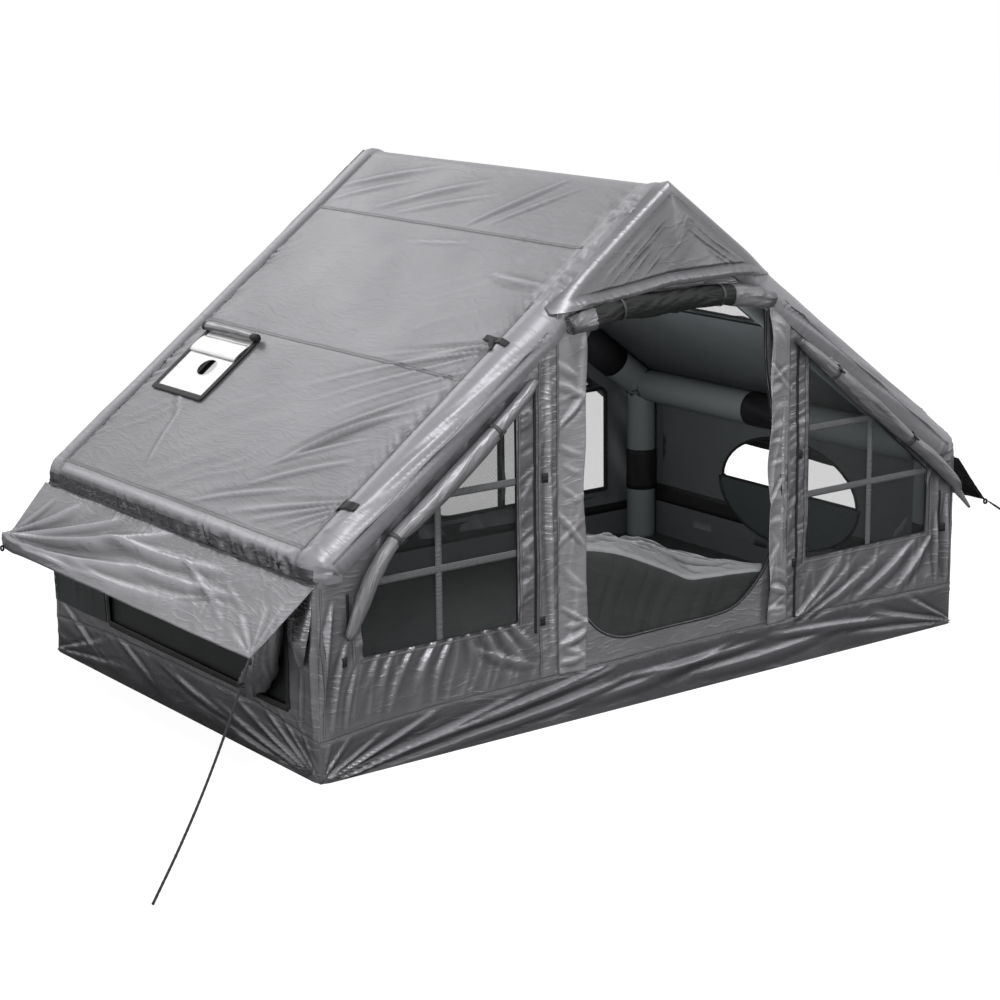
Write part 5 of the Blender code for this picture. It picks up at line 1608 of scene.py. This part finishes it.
# Cover rolls: each window's weather cover, of the walls' silky cloth, is rolled up along its slanting
# edge and held against the wall. Two webbing ties with black toggles go round each front roll.
roll_look = cloth_look(
    "rolled cover cloth", (0.27, 0.267, 0.284), (0.36, 0.356, 0.376), 0.37, 0.40, 0.0014, size=0.05,
)
tie_look = seam_look(
    "tie webbing", (0.075, 0.077, 0.080), (0.120, 0.123, 0.128), (0.05, 0.05, 0.05), 0.5, 0.1, 0.003,
)
toggle_look = cloth_look(
    "black toggle", (0.006, 0.006, 0.007), (0.012, 0.012, 0.013), 0.40, 0.0, 0.0001, size=0.02,
)
roll_core = 0.97
roll_standoff = 0.0044
close_standoff = 0.0010


def roll_line(points, place, count, standoff):
    """Evenly spaced centre points and radii of a roll that rests against a wall."""
    spots = smooth_line(points, count)
    return place(spots[:, 0], spots[:, 1], spots[:, 2] + standoff), spots[:, 2]


def roll_bulge(radius, seed, turns=0.35, rough=1.0):
    """Loose wraps and slanting creases of rolled cloth."""
    def bulge(along, angle):
        wind = angle + 2 * np.pi * turns * along
        wrap_edge = np.mod(wind, 2 * np.pi) / (2 * np.pi)
        step = 0.150 * (wrap_edge - 0.5) + 0.050 * np.cos(2 * wind + 5 * along)
        creases = 0.045 * rough * (1 + grain(along, 0.035 * angle, 0.30, 0.20, 0.022, seed + 5))
        slack = 0.070 * lumps(along, 0.05 * angle, 0.13, seed)
        return radius * (step + creases + slack)
    return bulge


def add_roll(name, points, place, node, count, seed, standoff=roll_standoff, rough=1.0):
    """A rolled cover, with the centre points and radii that its ties go round."""
    centre, radii = roll_line(points, place, count, standoff)
    roll = add_tube(
        name, centre, radii * roll_core, roll_look, sides=36,
        bulge=roll_bulge(radii[:, None], seed, rough=rough),
        slot="wall_cloth",
    )
    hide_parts(node)
    return centre, radii


def add_tie(name, centre, radii, x, node, width=0.016, toggle=True):
    """A strap round a roll, nipping it a little, with a toggle that hangs in front."""
    at = int(np.argmin(np.abs(centre[:, 0] - x)))
    run = centre[at + 1] - centre[at - 1]
    run /= np.linalg.norm(run)
    out = np.array((0.0, -1.0, 0.0))
    out -= run * out.dot(run)
    out /= np.linalg.norm(out)
    across = np.cross(run, out)
    angle = np.linspace(0, 2 * np.pi, 41)[:, None]
    along = np.linspace(-width / 2, width / 2, 5)[None, :]
    reach = radii[at] * 1.09 + 0.0012 + 0.0008 * np.sin(3 * angle + 200 * along)
    skin = (
        centre[at] + across * (reach * np.cos(angle))[..., None] + out * (reach * np.sin(angle))[..., None]
        + run * along[..., None]
    )
    flat = np.stack(np.broadcast_arrays(angle * radii[at], along), -1)
    add_cloth(name, skin, flat, tie_look, 0.0014, node, slot="grey_webbing")
    if toggle:
        middle = centre[at] + out * (radii[at] * 1.12 + 0.005) - across * radii[at] * 0.3
        bar = [middle + run * t for t in (-0.017, -0.015, 0.015, 0.017)]
        add_tube(name + "_toggle", bar, [0.002, 0.0042, 0.0042, 0.002], toggle_look, slot="black_webbing")


front_rolls = {
    "left": [
        (-0.630, 1.290, 0.016), (-0.720, 1.212, 0.024), (-0.815, 1.134, 0.026), (-0.900, 1.068, 0.030),
        (-1.030, 0.973, 0.031), (-1.160, 0.877, 0.028), (-1.245, 0.815, 0.024), (-1.330, 0.715, 0.027),
        (-1.385, 0.610, 0.025), (-1.430, 0.500, 0.014),
    ],
    "right": [
        (0.630, 1.290, 0.017), (0.720, 1.220, 0.024), (0.815, 1.148, 0.026), (0.900, 1.080, 0.030),
        (1.030, 0.980, 0.031), (1.160, 0.884, 0.028), (1.245, 0.820, 0.025), (1.350, 0.742, 0.028),
        (1.480, 0.632, 0.024), (1.560, 0.560, 0.015), (1.640, 0.482, 0.006),
    ],
}
back_roll = [
    (0.180, 1.545, 0.015), (0.300, 1.470, 0.024), (0.600, 1.245, 0.030), (0.950, 0.985, 0.029),
    (1.240, 0.770, 0.024), (1.370, 0.650, 0.013),
]
side_roll = [
    (-0.790, 0.600, 0.009), (-0.780, 0.520, 0.022), (-0.745, 0.420, 0.036), (-0.690, 0.330, 0.042),
    (-0.610, 0.265, 0.034), (-0.545, 0.240, 0.018),
]
for hand, side in hands:
    centre, radii = add_roll(
        f"front_cover_{hand}_rolled", front_rolls[hand], on_front, f"front_cover_roll_{hand}", 170,
        506 + 5 * side,
    )
    for label, x in (("upper", 0.810), ("lower", 1.235)):
        add_tie(f"front_tie_{label}_{hand}", centre, radii, side * x, f"front_cover_tie_{label}_{hand}")
    add_roll(
        f"back_cover_{hand}_rolled", [(side * x, z, radius) for x, z, radius in back_roll], on_back,
        f"back_cover_roll_{hand}", 130, 521 + side, standoff=close_standoff,
    )
    add_roll(
        f"side_cover_{hand}_rolled", side_roll, on_side(side), f"side_cover_roll_{hand}", 120, 531 + side,
        standoff=close_standoff, rough=6.0,
    )

# Door: its dark mesh and grey cloth are rolled up together under the gable and held by two thin ties.
# The layers show as a spiral at the roll's left end.
net_roll_look = cloth_look(
    "rolled door mesh", (0.004, 0.0045, 0.005), (0.012, 0.013, 0.014), 0.62, 0.0, 0.0022,
    size=0.06, pitch=0.003, thread=0.0003,
)
door_roll = [
    (-0.485, 1.466, 0.030), (-0.400, 1.486, 0.036), (-0.270, 1.508, 0.036), (-0.150, 1.510, 0.038),
    (0.060, 1.512, 0.038), (0.200, 1.510, 0.036), (0.340, 1.494, 0.036), (0.462, 1.466, 0.031),
]
mesh_left, mesh_right = -0.395, 0.255


def middles(skin, faces, axis):
    """Where the middle of each face lies along one axis."""
    return np.array([np.mean(skin[face][:, axis]) for face in faces])


centre, radii = roll_line(door_roll, on_front, 150, roll_standoff)
skin, faces, spread = tube_mesh(
    centre, radii * roll_core, 40, roll_bulge(radii[:, None], 541, turns=0.5, rough=3.2),
)
middle = middles(skin, faces, 0)
roll = add_piece(
    "door_rolled", skin, faces, spread, [net_roll_look, roll_look], slot="mesh_cloth",
    which=((middle < mesh_left) | (middle > mesh_right)).astype(int),
)
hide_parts("door_roll")
for label, x in (("left", -0.270), ("right", 0.200)):
    add_tie(f"door_tie_{label}", centre, radii, x, f"door_roll_tie_{label}", width=0.010, toggle=False)

turn = np.linspace(0.0, 5.2 * np.pi, 90)[:, None]
reach = 0.0035 + 0.0255 * turn / turn[-1]
run = centre[0] - centre[1]
run /= np.linalg.norm(run)
across = np.cross(run, (0.0, 0.0, 1.0))
across /= np.linalg.norm(across)
spiral = (
    centre[0] + run * 0.0012 + across * (reach * np.cos(turn))
    + np.cross(across, run) * (reach * np.sin(turn))
)
add_tube("door_roll_layers", spiral, 0.0020, roll_look, sides=8, slot="mesh_cloth")
add_tube(
    "door_roll_layers_dark", spiral - run * 0.0015 + across * 0.0008, 0.0026, piping_look, sides=8,
    slot="mesh_cloth",
)

# Door zip: a black coil on a narrow tape, sewn round the doorway's edge from one end of the rolled
# door to the other.
zip_look = cloth_look("zip coil", (0.006, 0.006, 0.007), (0.014, 0.014, 0.015), 0.45, 0.0, 0.0002, size=0.02)
zip_top = 1.420
zip_stand = 0.006
zip_path = np.vstack([[(-0.436, zip_top)], doorway[1:-1], [(0.477, zip_top)]])
zip_path = zip_path[zip_path[:, 1] <= zip_top]
run = np.gradient(zip_path, axis=0)
run /= np.linalg.norm(run, axis=1)[:, None]
zip_path = zip_path + np.stack([run[:, 1], -run[:, 0]], 1) * zip_stand
door_zip = add_strip(
    "door_zip_coil", zip_path, 0.006, on_front, front_relief, zip_look, lift=0.0010, thick=0.0014,
    pitch=0.006,
    columns=3, slot="zip_plastic",
)
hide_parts("door_zip")

# Moulded parts: the zip's slider, the air valve and its screw cap are black plastic. They keep the
# solids' shapes, with the fine grain of a mould.
moulded, tree, shader = blank_look("moulded black plastic", Roughness=0.38)
place = wire(tree, "TexCoord")
fine = wire(tree, "TexNoise", Vector=place.outputs["Object"], Scale=700.0, Detail=2.0)
colour = two_tone(tree, fine.outputs["Fac"], (0.010, 0.010, 0.011), (0.024, 0.024, 0.026))
tree.links.new(colour, shader.inputs["Base Color"])
bump = wire(tree, "Bump", Strength=0.5, Distance=0.0001, Height=fine.outputs["Fac"])
tree.links.new(bump.outputs["Normal"], shader.inputs["Normal"])
for node in ("door_zip_slider", "inflation_valve", "valve_cap"):
    for place in bpy.data.objects[node].material_slots:
        place.material = moulded

# Storm flaps: a strip of wall cloth along each side of the doorway, sewn on along its outer edge and
# standing a little off the wall, with slanting creases from being folded. Their colour is painted lighter
# than the wall's, for the light they catch.
# Painted light: the flaps are coloured lighter than the wall cloth.
flap_look = cloth_look(
    "storm flap cloth painted lighter", (0.38, 0.376, 0.397), (0.48, 0.475, 0.498), 0.37, 0.30, 0.0009, size=0.07,
)
flap_foot = 0.190
flap_width = 0.108
for hand, side, sewn, free, head in (("left", -1, -0.520, -0.412, 1.515), ("right", 1, 0.600, 0.486, 1.430)):
    share, across = np.meshgrid(np.linspace(0, 1, 190), np.linspace(0, 1, 22), indexing="ij")
    z = head + (flap_foot - head) * share
    wave = 0.008 * np.sin(9.0 * share + 0.8) + 0.005 * np.sin(23.0 * share)
    if side < 0:
        wave += 0.030 * (1 - ramp(share, 0.0, 0.35))
    edge = free + wave * np.sin(np.pi * share)
    x = sewn + (edge - sewn) * across
    lift = 0.0016 + 0.020 * across ** 1.2 + 0.003 * across * (1 + np.sin(15 * share + 2 * across))
    lift += 0.0050 * across * grain(x, z, 1.40, 0.30, 0.045, 551 + side)
    dice = random.Random(553 + side)
    for low in np.arange(0.22, head - 0.05, 0.075):
        turn = dice.uniform(-0.10, 0.12)
        one = sewn + (free - sewn) * dice.uniform(-0.1, 0.35)
        other = sewn + (free - sewn) * dice.uniform(0.75, 1.15)
        lift += fold(
            x, z, (one, low), (other, low + turn), dice.uniform(0.009, 0.018), dice.uniform(0.002, 0.0065),
            dice.uniform(-0.008, 0.008),
        )
    lift += folds(x, z, [
        ((sewn, 0.300), (free, 0.345), 0.014, 0.015, 0.004),
        ((sewn, 0.235), (free, 0.250), 0.012, 0.010, 0.002),
        ((sewn, 1.10), (free, 1.22), 0.010, 0.008), ((sewn, 0.80), (free, 0.66), 0.010, 0.008),
    ])
    lift *= 1 - 0.8 * (1 - ramp(share, 0.0, 0.10))
    skin = on_front(x.ravel(), z.ravel(), np.maximum(lift, 0.0012).ravel())
    add_cloth(
        f"storm_flap_{hand}", skin, np.stack([across * flap_width, share * (head - flap_foot)], -1),
        flap_look,
        0.0016, f"door_flap_{hand}", (0, 3, 2, 1) if side < 0 else (1, 2, 3, 0), slot="wall_cloth",
    )

# Inner door panel: dark cloth zipped into the lower half of the doorway. Its upper part is folded
# inwards and shows a pale, pleated reverse.
inner_look = cloth_look(
    "inner door cloth", (0.030, 0.034, 0.034), (0.055, 0.059, 0.060), 0.50, 0.05, 0.0010, size=0.16,
)
reverse_look = cloth_look(
    "pale reverse cloth", (0.230, 0.235, 0.243), (0.330, 0.336, 0.346), 0.42, 0.2, 0.0008, size=0.08,
)
fold_x, fold_z = smooth_line([
    (-0.450, 0.665), (-0.330, 0.640), (-0.220, 0.606), (-0.100, 0.553), (0.020, 0.495), (0.110, 0.450),
    (0.200, 0.440), (0.320, 0.432), (0.490, 0.418),
], 130).T
inner_y = -half_depth + 0.0105
tallest = 0.125
tall = np.interp(
    fold_x, [-0.45, -0.33, -0.17, 0.02, 0.12, 0.26, 0.40, 0.49],
    [0.012, 0.034, 0.072, tallest, 0.118, 0.066, 0.024, 0.002],
)
rows = []
for t in np.linspace(1.0, 0.0, 22):
    reach = 0.006 + 0.19 * (tall / tallest) ** 0.7 * t
    rise = tall * t - reach * 0.24 + 0.012 * np.sin(np.pi * t)
    pleat = lumps(fold_x * 0.30, 0.30 * t + 0.30 * fold_x, 0.026, 605) * np.minimum(1, 6 * t)
    pleat = pleat * 0.012 * np.minimum(1, tall / 0.05)
    edge = 0.010 * lumps(fold_x, 0 * tall, 0.10, 607) * t ** 4
    rows.append(np.stack([fold_x, inner_y + reach, fold_z + rise + pleat + edge], 1))
folded_rows = len(rows)
for share in np.linspace(0.04, 1.0, 30):
    z = (fold_z - 0.006) * (1 - share) + 0.200 * share
    sag = 0.004 * np.sin(np.pi * share) * (1 + lumps(fold_x, z, 0.22, 601))
    sag += 0.002 * grain(fold_x, z, 1.2, 0.3, 0.05, 602)
    rows.append(np.stack([fold_x, inner_y + np.maximum(sag, -0.001), z], 1))
skin = np.array(rows)
down = np.concatenate([[0.0], np.cumsum(np.linalg.norm(np.diff(skin[:, 60], axis=0), axis=1))])
inner_door = add_cloth(
    "inner_door_cloth", skin, np.stack(np.broadcast_arrays(fold_x[None, :], down[:, None]), -1),
    [reverse_look, inner_look], 0.0016, "inner_door_panel", (0, 3, 2, 1), slot="floor_cloth",
    which=np.repeat((np.arange(len(rows) - 1) >= folded_rows).astype(int), len(fold_x) - 1),
)

# Gable visor: one silky cloth, sewn on from the apex along both rafters and standing out over the
# rolled door, with a padded hem.
visor_look = cloth_look(
    "visor cloth", (0.190, 0.188, 0.200), (0.265, 0.262, 0.278), 0.34, 0.45, 0.0007, size=0.07,
)
visor_left, visor_right = -0.545, 0.512
crest_stand = 0.004
visor_radius = sleeve_radius + 0.003
share, across = np.meshgrid(np.linspace(0, 1, 120) ** 1.2, np.linspace(0, 1, 230), indexing="ij")
x = visor_left + (visor_right - visor_left) * across
hem = np.interp(
    x, [visor_left, -0.325, -0.047, 0.241, 0.481, visor_right], [1.510, 1.535, 1.572, 1.577, 1.560, 1.556],
)
top = peak - np.abs(x) * math.tan(slope) + crest_stand / math.cos(slope)
top = np.maximum(top, hem + 0.006)
z = top + (hem - top) * share
below = (peak - z) * math.cos(slope) - np.abs(x) * math.sin(slope)
squareness = 2.0 + 1.4 * ramp(across, 0.0, 0.14) * ramp(1 - across, 0.0, 0.14)
over_beam = visor_radius ** squareness - np.clip(wrap - below, 0, visor_radius) ** squareness
belly = np.sin(np.pi * across) ** 0.55
lift = over_beam ** (1 / squareness) - wrap + 0.046 * belly * share ** 1.5
lift -= 0.0050 * np.exp(-((below - 0.038) / 0.016) ** 2) * ramp(across, 0.02, 0.12)
calm = ramp(peak - z, 0.05, 0.16) * ramp(below, 0.03, 0.08)
lift += calm * folds(x, z, [
    ((-0.440, 1.560), (-0.100, 1.840), 0.0103, 0.0040, 0.006),
    ((-0.361, 1.591), (-0.095, 1.800), 0.0069, 0.0030),
    ((-0.330, 1.580), (-0.025, 1.828), 0.0080, 0.0037, 0.004),
    ((-0.280, 1.605), (-0.040, 1.790), 0.0069, 0.0027),
    ((-0.260, 1.590), (-0.120, 1.700), 0.0057, 0.0025), ((-0.180, 1.600), (-0.060, 1.700), 0.0057, 0.0022),
    ((0.060, 1.770), (0.315, 1.602), 0.0069, 0.0032, 0.004),
    ((0.090, 1.780), (0.339, 1.614), 0.0057, 0.0025, 0.002),
    ((0.130, 1.700), (0.300, 1.590), 0.0057, 0.0025), ((0.170, 1.720), (0.390, 1.590), 0.0057, 0.0022),
    ((0.020, 1.850), (0.240, 1.690), 0.0080, 0.0025), ((-0.050, 1.860), (-0.280, 1.700), 0.0115, 0.0030),
])
lift += calm * (0.0065 * lumps(x, z, 0.22, 615) + 0.0014 * lumps(x, z, 0.08, 616))
lift += calm * 0.0010 * grain(x, z, 0.72, 0.16, 0.024, 613)
hem_band = np.exp(-((z - hem - 0.017) / 0.014) ** 2) * ramp(below, 0.0, 0.05) * ramp(x - visor_left, 0.01, 0.16)
lift += hem_band * 0.010
lift += hem_band * 0.0022 * grain(z, x + 0.5 * z, 0.0, 0.10, 0.018, 617)
lift -= 0.0060 * np.exp(-((z - hem - 0.042) / 0.006) ** 2) * ramp(below, 0.02, 0.08)
below_crest = on_front(x, z, lift)
column = x[0]
sides = np.where(column < 0, -1, 1)
downs = (np.abs(column) - crest_stand * math.sin(slope)) / math.cos(slope)
crest_run = np.interp(-math.asin((crest_stand + wrap) / visor_radius), -arc, section_run)
start = crest_run - (crest_run - visor_top(downs)) * ramp(across[0], 0.0, 0.05)
down = np.maximum(downs, crest_down)
sewn = np.array([
    on_roof(way)(np.array([-r]), np.array([d]), np.array([0.0030]))[0] for way, r,
    d in zip(sides, start, down)
])
below_crest = np.moveaxis(below_crest, 1, -1)
over = [sewn + (below_crest[0] - sewn) * t for t in np.linspace(0, 1, 9)[:-1]]
skin = np.concatenate([np.array(over), below_crest], 0)
crest_rows = [top[:1] + 0.01 * k for k in range(len(over), 0, -1)]
flat = np.stack([np.broadcast_to(column, skin.shape[:2]), np.vstack(crest_rows + [z])], -1)
visor = add_cloth(
    "visor_cloth", skin, flat, visor_look, 0.0018, "gable_visor", (0, 3, 2, 1), slot="wall_cloth",
)

# Awnings: light roof cloth above and black beneath, sewn on under the eaves and pulled out and down at
# their outer corners. A loop of black webbing at each corner holds the guy rope.
under_look = cloth_look("awning underside", (0.006, 0.006, 0.007), (0.014, 0.014, 0.016), 0.50, 0.0, 0.0010)
awning_look = cloth_look(
    "awning cloth", (0.305, 0.302, 0.321), (0.375, 0.370, 0.394), 0.32, 0.40, 0.0010, size=0.06,
)
awning_sewn_half = 1.000
awning_hem = 0.313
awning_fall = 0.76
awning_runs = [
    ((0.965, 0.290), (-0.060, 0.010), 0.040, 0.0540, 0.010, "start"),
    ((0.965, 0.285), (0.300, 0.020), 0.030, 0.0419, 0.006, "start"),
    ((0.965, 0.280), (0.640, 0.030), 0.024, 0.0354, 0.004, "start"),
    ((0.965, 0.292), (-0.140, 0.156), 0.032, 0.0354, 0.012, "start"),
    ((0.965, 0.295), (-0.450, 0.230), 0.030, 0.0258, 0.010, "start"),
    ((0.960, 0.270), (0.840, 0.040), 0.014, 0.0193, 0.0, "start"),
    ((0.420, 0.110), (-0.520, 0.060), 0.024, 0.0122, 0.012),
    ((0.100, 0.170), (-0.650, 0.130), 0.020, 0.0098, 0.010),
    ((-0.180, 0.060), (-0.620, 0.190), 0.015, 0.0073, 0.004),
    ((-0.360, 0.110), (-0.720, 0.250), 0.010, 0.0030, 0.004),
    ((-0.300, 0.230), (-0.560, 0.150), 0.009, 0.0028),
    ((-0.520, 0.090), (-0.800, 0.180), 0.010, 0.0030, 0.004),
    ((-0.935, 0.305), (-0.740, 0.255), 0.011, 0.0085, 0.002, "start"),
    ((-0.935, 0.300), (-0.680, 0.165), 0.013, 0.0085, 0.004, "start"),
    ((-0.940, 0.300), (-0.830, 0.120), 0.013, 0.0085, 0.0, "start"),
    ((-0.940, 0.300), (-0.910, 0.080), 0.011, 0.0064, 0.0, "start"),
    ((-0.540, 0.270), (-0.470, 0.160), 0.008, 0.0023), ((0.560, 0.240), (0.060, 0.270), 0.015, 0.0060),
]
for hand, side in hands:
    share, along = np.meshgrid(np.linspace(0, 1, 44), np.linspace(-1, 1, 260), indexing="ij")
    y = along * (awning_sewn_half + (awning_half - awning_sewn_half) * share)
    slack = share * (1 - along ** 2)
    down = share * math.hypot(awning_reach, awning_drop)
    lift = -0.010 * slack + 0.004 * np.sin(3.5 * np.pi * along) * slack
    lift += 0.0030 * lumps(y, down, 0.16, 621 + side) * np.minimum(1, 3 * share)
    lift += folds(y, down, awning_runs)
    lift += 0.0010 * grain(y, down, 2.45, 0.16, 0.026, 627) * ramp(-y, -0.1, 0.3) * np.minimum(1, 4 * share)
    lift += puckers(y, down - 0.004, 0.035, 0.030, 0.0030, 629)
    lift += puckers(y, awning_hem - down, 0.040, 0.014, 0.0016, 631)
    lift *= np.minimum(1, down / 0.010)
    hem_roll = 0.0016 * np.exp(-((0.305 - down) / 0.008) ** 2)
    x = hinge_x + awning_reach * share + lift * math.sin(awning_fall)
    z = hinge_z - awning_drop * share + (lift + hem_roll) * math.cos(awning_fall) + 0.0012
    awning = add_cloth(
        f"awning_{hand}_cloth", np.stack([side * x, y, z], -1), np.stack([y, down], -1),
        [awning_look, under_look],
        0.0016, f"awning_{hand}", (0, 1, 2, 3) if side < 0 else (3, 2, 1, 0), body=f"awning_{hand}",
        slot="roof_cloth",
    )
    awning.modifiers["thickness"].material_offset = 1
    awning.modifiers["thickness"].material_offset_rim = 0
    for end, way in ends:
        start = rope_exits[end, hand]
        turn = np.linspace(0, 2 * np.pi, 33)
        loop = np.stack([
            start[0] - side * 0.002 + side * 0.004 * np.sin(turn), start[1] + way * 0.004 * np.sin(turn),
            start[2] + 0.002 - 0.009 * (1 - np.cos(turn)),
        ], 1)
        add_tube(
            f"corner_loop_{end}_{hand}", loop, 0.0042, band_look, sides=8, body=f"awning_{hand}",
            slot="roof_cloth",
        )

# Stove-pipe opening: a white heatproof panel bound in black, its flap folded back on itself, and its
# cover rolled up above.
jack_look = cloth_look(
    "white heatproof cloth", (0.94, 0.94, 0.94), (0.98, 0.98, 0.98), 0.45, 0.40, 0.0003, size=0.06, fold_shade_strength=0.0,
)
jack_left, jack_right, jack_high, jack_low = 0.420, 0.785, 1.100, 1.445
jack_stand = 0.0035
jack_squash = 0.75
jack_roll_radius = 0.0170
on_left_roof = on_roof(-1)
left_relief = roof_relief(-1)


def on_jack(a, b, lift):
    return on_left_roof(a, b, jack_stand + lift + 0 * a)


panel = add_panel(
    "jack_panel",
    rounded(
        [(jack_left, jack_high), (jack_right, jack_high), (jack_right, jack_low), (jack_left, jack_low)], 0.020,
    ),
    [ring(jack_hole, 0.056, 32, jack_squash)], 0.02, on_jack, lambda a,
    b: 0.0012 * lumps(a, b, 0.15, 641) + 0.001,
    [jack_look], slot="jack_cloth",
)
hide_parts("stove_jack_panel")
for k, path in enumerate((
    [(jack_left, 1.120), (jack_left, jack_low)], [(0.412, 1.440), (0.793, 1.440)],
    [(jack_right, jack_low), (jack_right, 1.120)],
)):
    add_strip(
        f"jack_binding_{k}", path, 0.026, on_jack, no_relief, band_look, lift=0.0026, thick=0.0010,
        slot="black_webbing",
    )
hole_rim = ring(jack_hole, 0.057, 40, jack_squash)
hole_rim = np.vstack([hole_rim, hole_rim[:1]])
add_tube(
    "jack_hole_rim", on_jack(hole_rim[:, 0], hole_rim[:, 1], 0.0020), 0.0022, jack_look, sides=8,
    slot="jack_cloth",
)
share, along = np.meshgrid(np.linspace(0, 1, 16), np.linspace(0.430, 0.775, 60), indexing="ij")
down = 1.150 + 0.086 * np.sin(np.pi / 2 * share)
lift = 0.0045 + 0.0080 * np.sin(np.pi * share) ** 0.6 * (1 - 0.2 * share) + 0.0010 * lumps(along, down, 0.06, 643)
add_cloth(
    "jack_flap", on_jack(along.ravel(), down.ravel(), lift.ravel()), np.stack([along, down], -1), jack_look,
    0.0016,
    "stove_jack_flap", body="stove_jack_flap", slot="jack_cloth",
)
y = np.linspace(0.405, 0.805, 60)
centre = on_left_roof(y, np.full(60, 1.1125), np.full(60, 0.0215))
skin, faces, spread = tube_mesh(centre, jack_roll_radius, 28, roll_bulge(jack_roll_radius, 651, turns=0.6))
middle = middles(skin, faces, 1)
roll = add_piece(
    "jack_cover_rolled", skin, faces, spread, [wall_look, band_look], slot="roof_cloth",
    which=((middle < 0.432) | (middle > jack_right)).astype(int),
)
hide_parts("stove_jack_cover_roll")

# Roof vent: a strip of insect mesh, sewn on the inside over an opening in the right slope.
# It lies flat, a little below the roof cloth.
add_net(
    "roof_vent_net", rounded([(-0.515, 0.835), (-0.095, 0.835), (-0.095, 1.105), (-0.515, 1.105)], 0.040),
    on_roof(1),
    -0.0105, "roof_vent_mesh",
)

# Valve flap: a teardrop of wall cloth over the air valve's port. It is sewn on along its top edge, and
# stands off the wall in stiff creases.
valve_flap_look = cloth_look(
    "valve flap cloth", (0.26, 0.257, 0.273), (0.36, 0.356, 0.376), 0.24, 0.70, 0.0020, size=0.04,
)
flap_z, flap_half, flap_lift = smooth_line([
    (0.688, 0.044, 0.0020), (0.650, 0.056, 0.004), (0.600, 0.064, 0.013), (0.550, 0.066, 0.026),
    (0.500, 0.058, 0.035), (0.450, 0.038, 0.029), (0.405, 0.008, 0.016),
], 60).T[:, :, None]
across = np.linspace(-1, 1, 24)[None, :]
z = flap_z + 0 * across
y = valve_spot[0] + across * flap_half
stiff = 0.0060 * (1 + grain(y, z, 1.35, 0.16, 0.022, 661)) * (1 - across ** 2) * ramp(0.69 - z, 0.0, 0.14)
lift = flap_lift * (1 - 0.25 * across ** 2) + stiff
valve_flap = add_cloth(
    "valve_flap", on_side(-1)(y.ravel(), z.ravel(), np.maximum(lift, 0.0015).ravel()), np.stack([y, z], -1),
    valve_flap_look, 0.0014, "valve_cover_flap", (1, 2, 3, 0), slot="wall_cloth",
)

# Webbing tabs on the roof: a black strap from the sleeve's seam that ends in a stitched T, pulled out
# by the folds that run from it.
for name, path, width, lift in (
    ("upper_bar", [(-0.806, 0.858), (-0.890, 0.862), (-0.956, 0.872)], 0.026, 0.0040),
    ("upper_tail", [(-0.852, 0.866), (-0.880, 0.890), (-0.904, 0.916)], 0.022, 0.0055),
    ("lower_strap", [(-0.872, 1.692), (-0.965, 1.678)], 0.036, 0.0040),
    ("lower_bar", [(-0.885, 1.658), (-0.880, 1.716)], 0.016, 0.0065),
):
    add_strip(
        f"roof_tab_{name}", path, width, on_left_roof, left_relief, band_look, lift=lift, thick=0.0016,
        pitch=0.004,
        slot="black_webbing",
    )

# Fastenings of the front covers: a black coil zip beside and above each window, and small hook-and-loop
# tabs, sewn on, that hold the covers' edges.
for hand, side, lines in (
    ("left", -1, (
        ((0.622, 0.364), (0.622, 1.274)), ((1.420, 0.490), (1.420, 0.655)), ((0.622, 1.274), (0.665, 1.262)),
    )),
    ("right", 1, (
        ((0.645, 0.190), (0.645, 1.270)), ((1.445, 0.370), (1.445, 0.580)), ((0.645, 1.270), (0.685, 1.255)),
    )),
):
    for k, line in enumerate(lines):
        add_strip(
            f"cover_zip_{hand}_{k}", np.array(line) * (side, 1), 0.010, on_front, front_relief, zip_look,
            lift=0.0022,
            thick=0.0016, columns=3, slot="zip_plastic",
        )
for k, (x, z) in enumerate((
    (-0.577, 0.930), (-0.591, 0.405), (0.657, 0.842), (0.635, 0.415), (-1.440, 0.418), (1.467, 0.422),
)):
    add_strip(
        f"hook_tab_{k}", [(x, z - 0.017), (x, z + 0.017)], 0.022, on_front, front_relief, band_look,
        lift=0.0035,
        thick=0.0018, slot="black_webbing",
    )

# Seams of the front wall: folded joins between its panels, each held by two rows of stitches. They run
# beside the door, round the windows and up the corners.
for k, path in enumerate((
    [(-0.600, 0.200), (-0.600, 1.395)], [(0.600, 0.190), (0.600, 1.395)], [(-0.520, 0.195), (-0.520, 1.440)],
    [(0.690, 0.400), (0.690, 1.235)], [(-0.690, 0.400), (-0.690, 1.235)], [(-1.400, 0.400), (-1.400, 0.640)],
    [(-1.372, 0.405), (-0.640, 0.405)], [(1.372, 0.405), (0.690, 0.405)], [(1.395, 0.400), (1.395, 0.640)],
    [(-1.528, 0.160), (-1.528, 0.690)], [(1.520, 0.180), (1.520, 0.690)],
)):
    add_strip(
        f"front_wall_seam_{k}", path, 0.012, on_front, front_relief, wall_seam_look, lift=0.0018,
        slot="wall_cloth",
    )
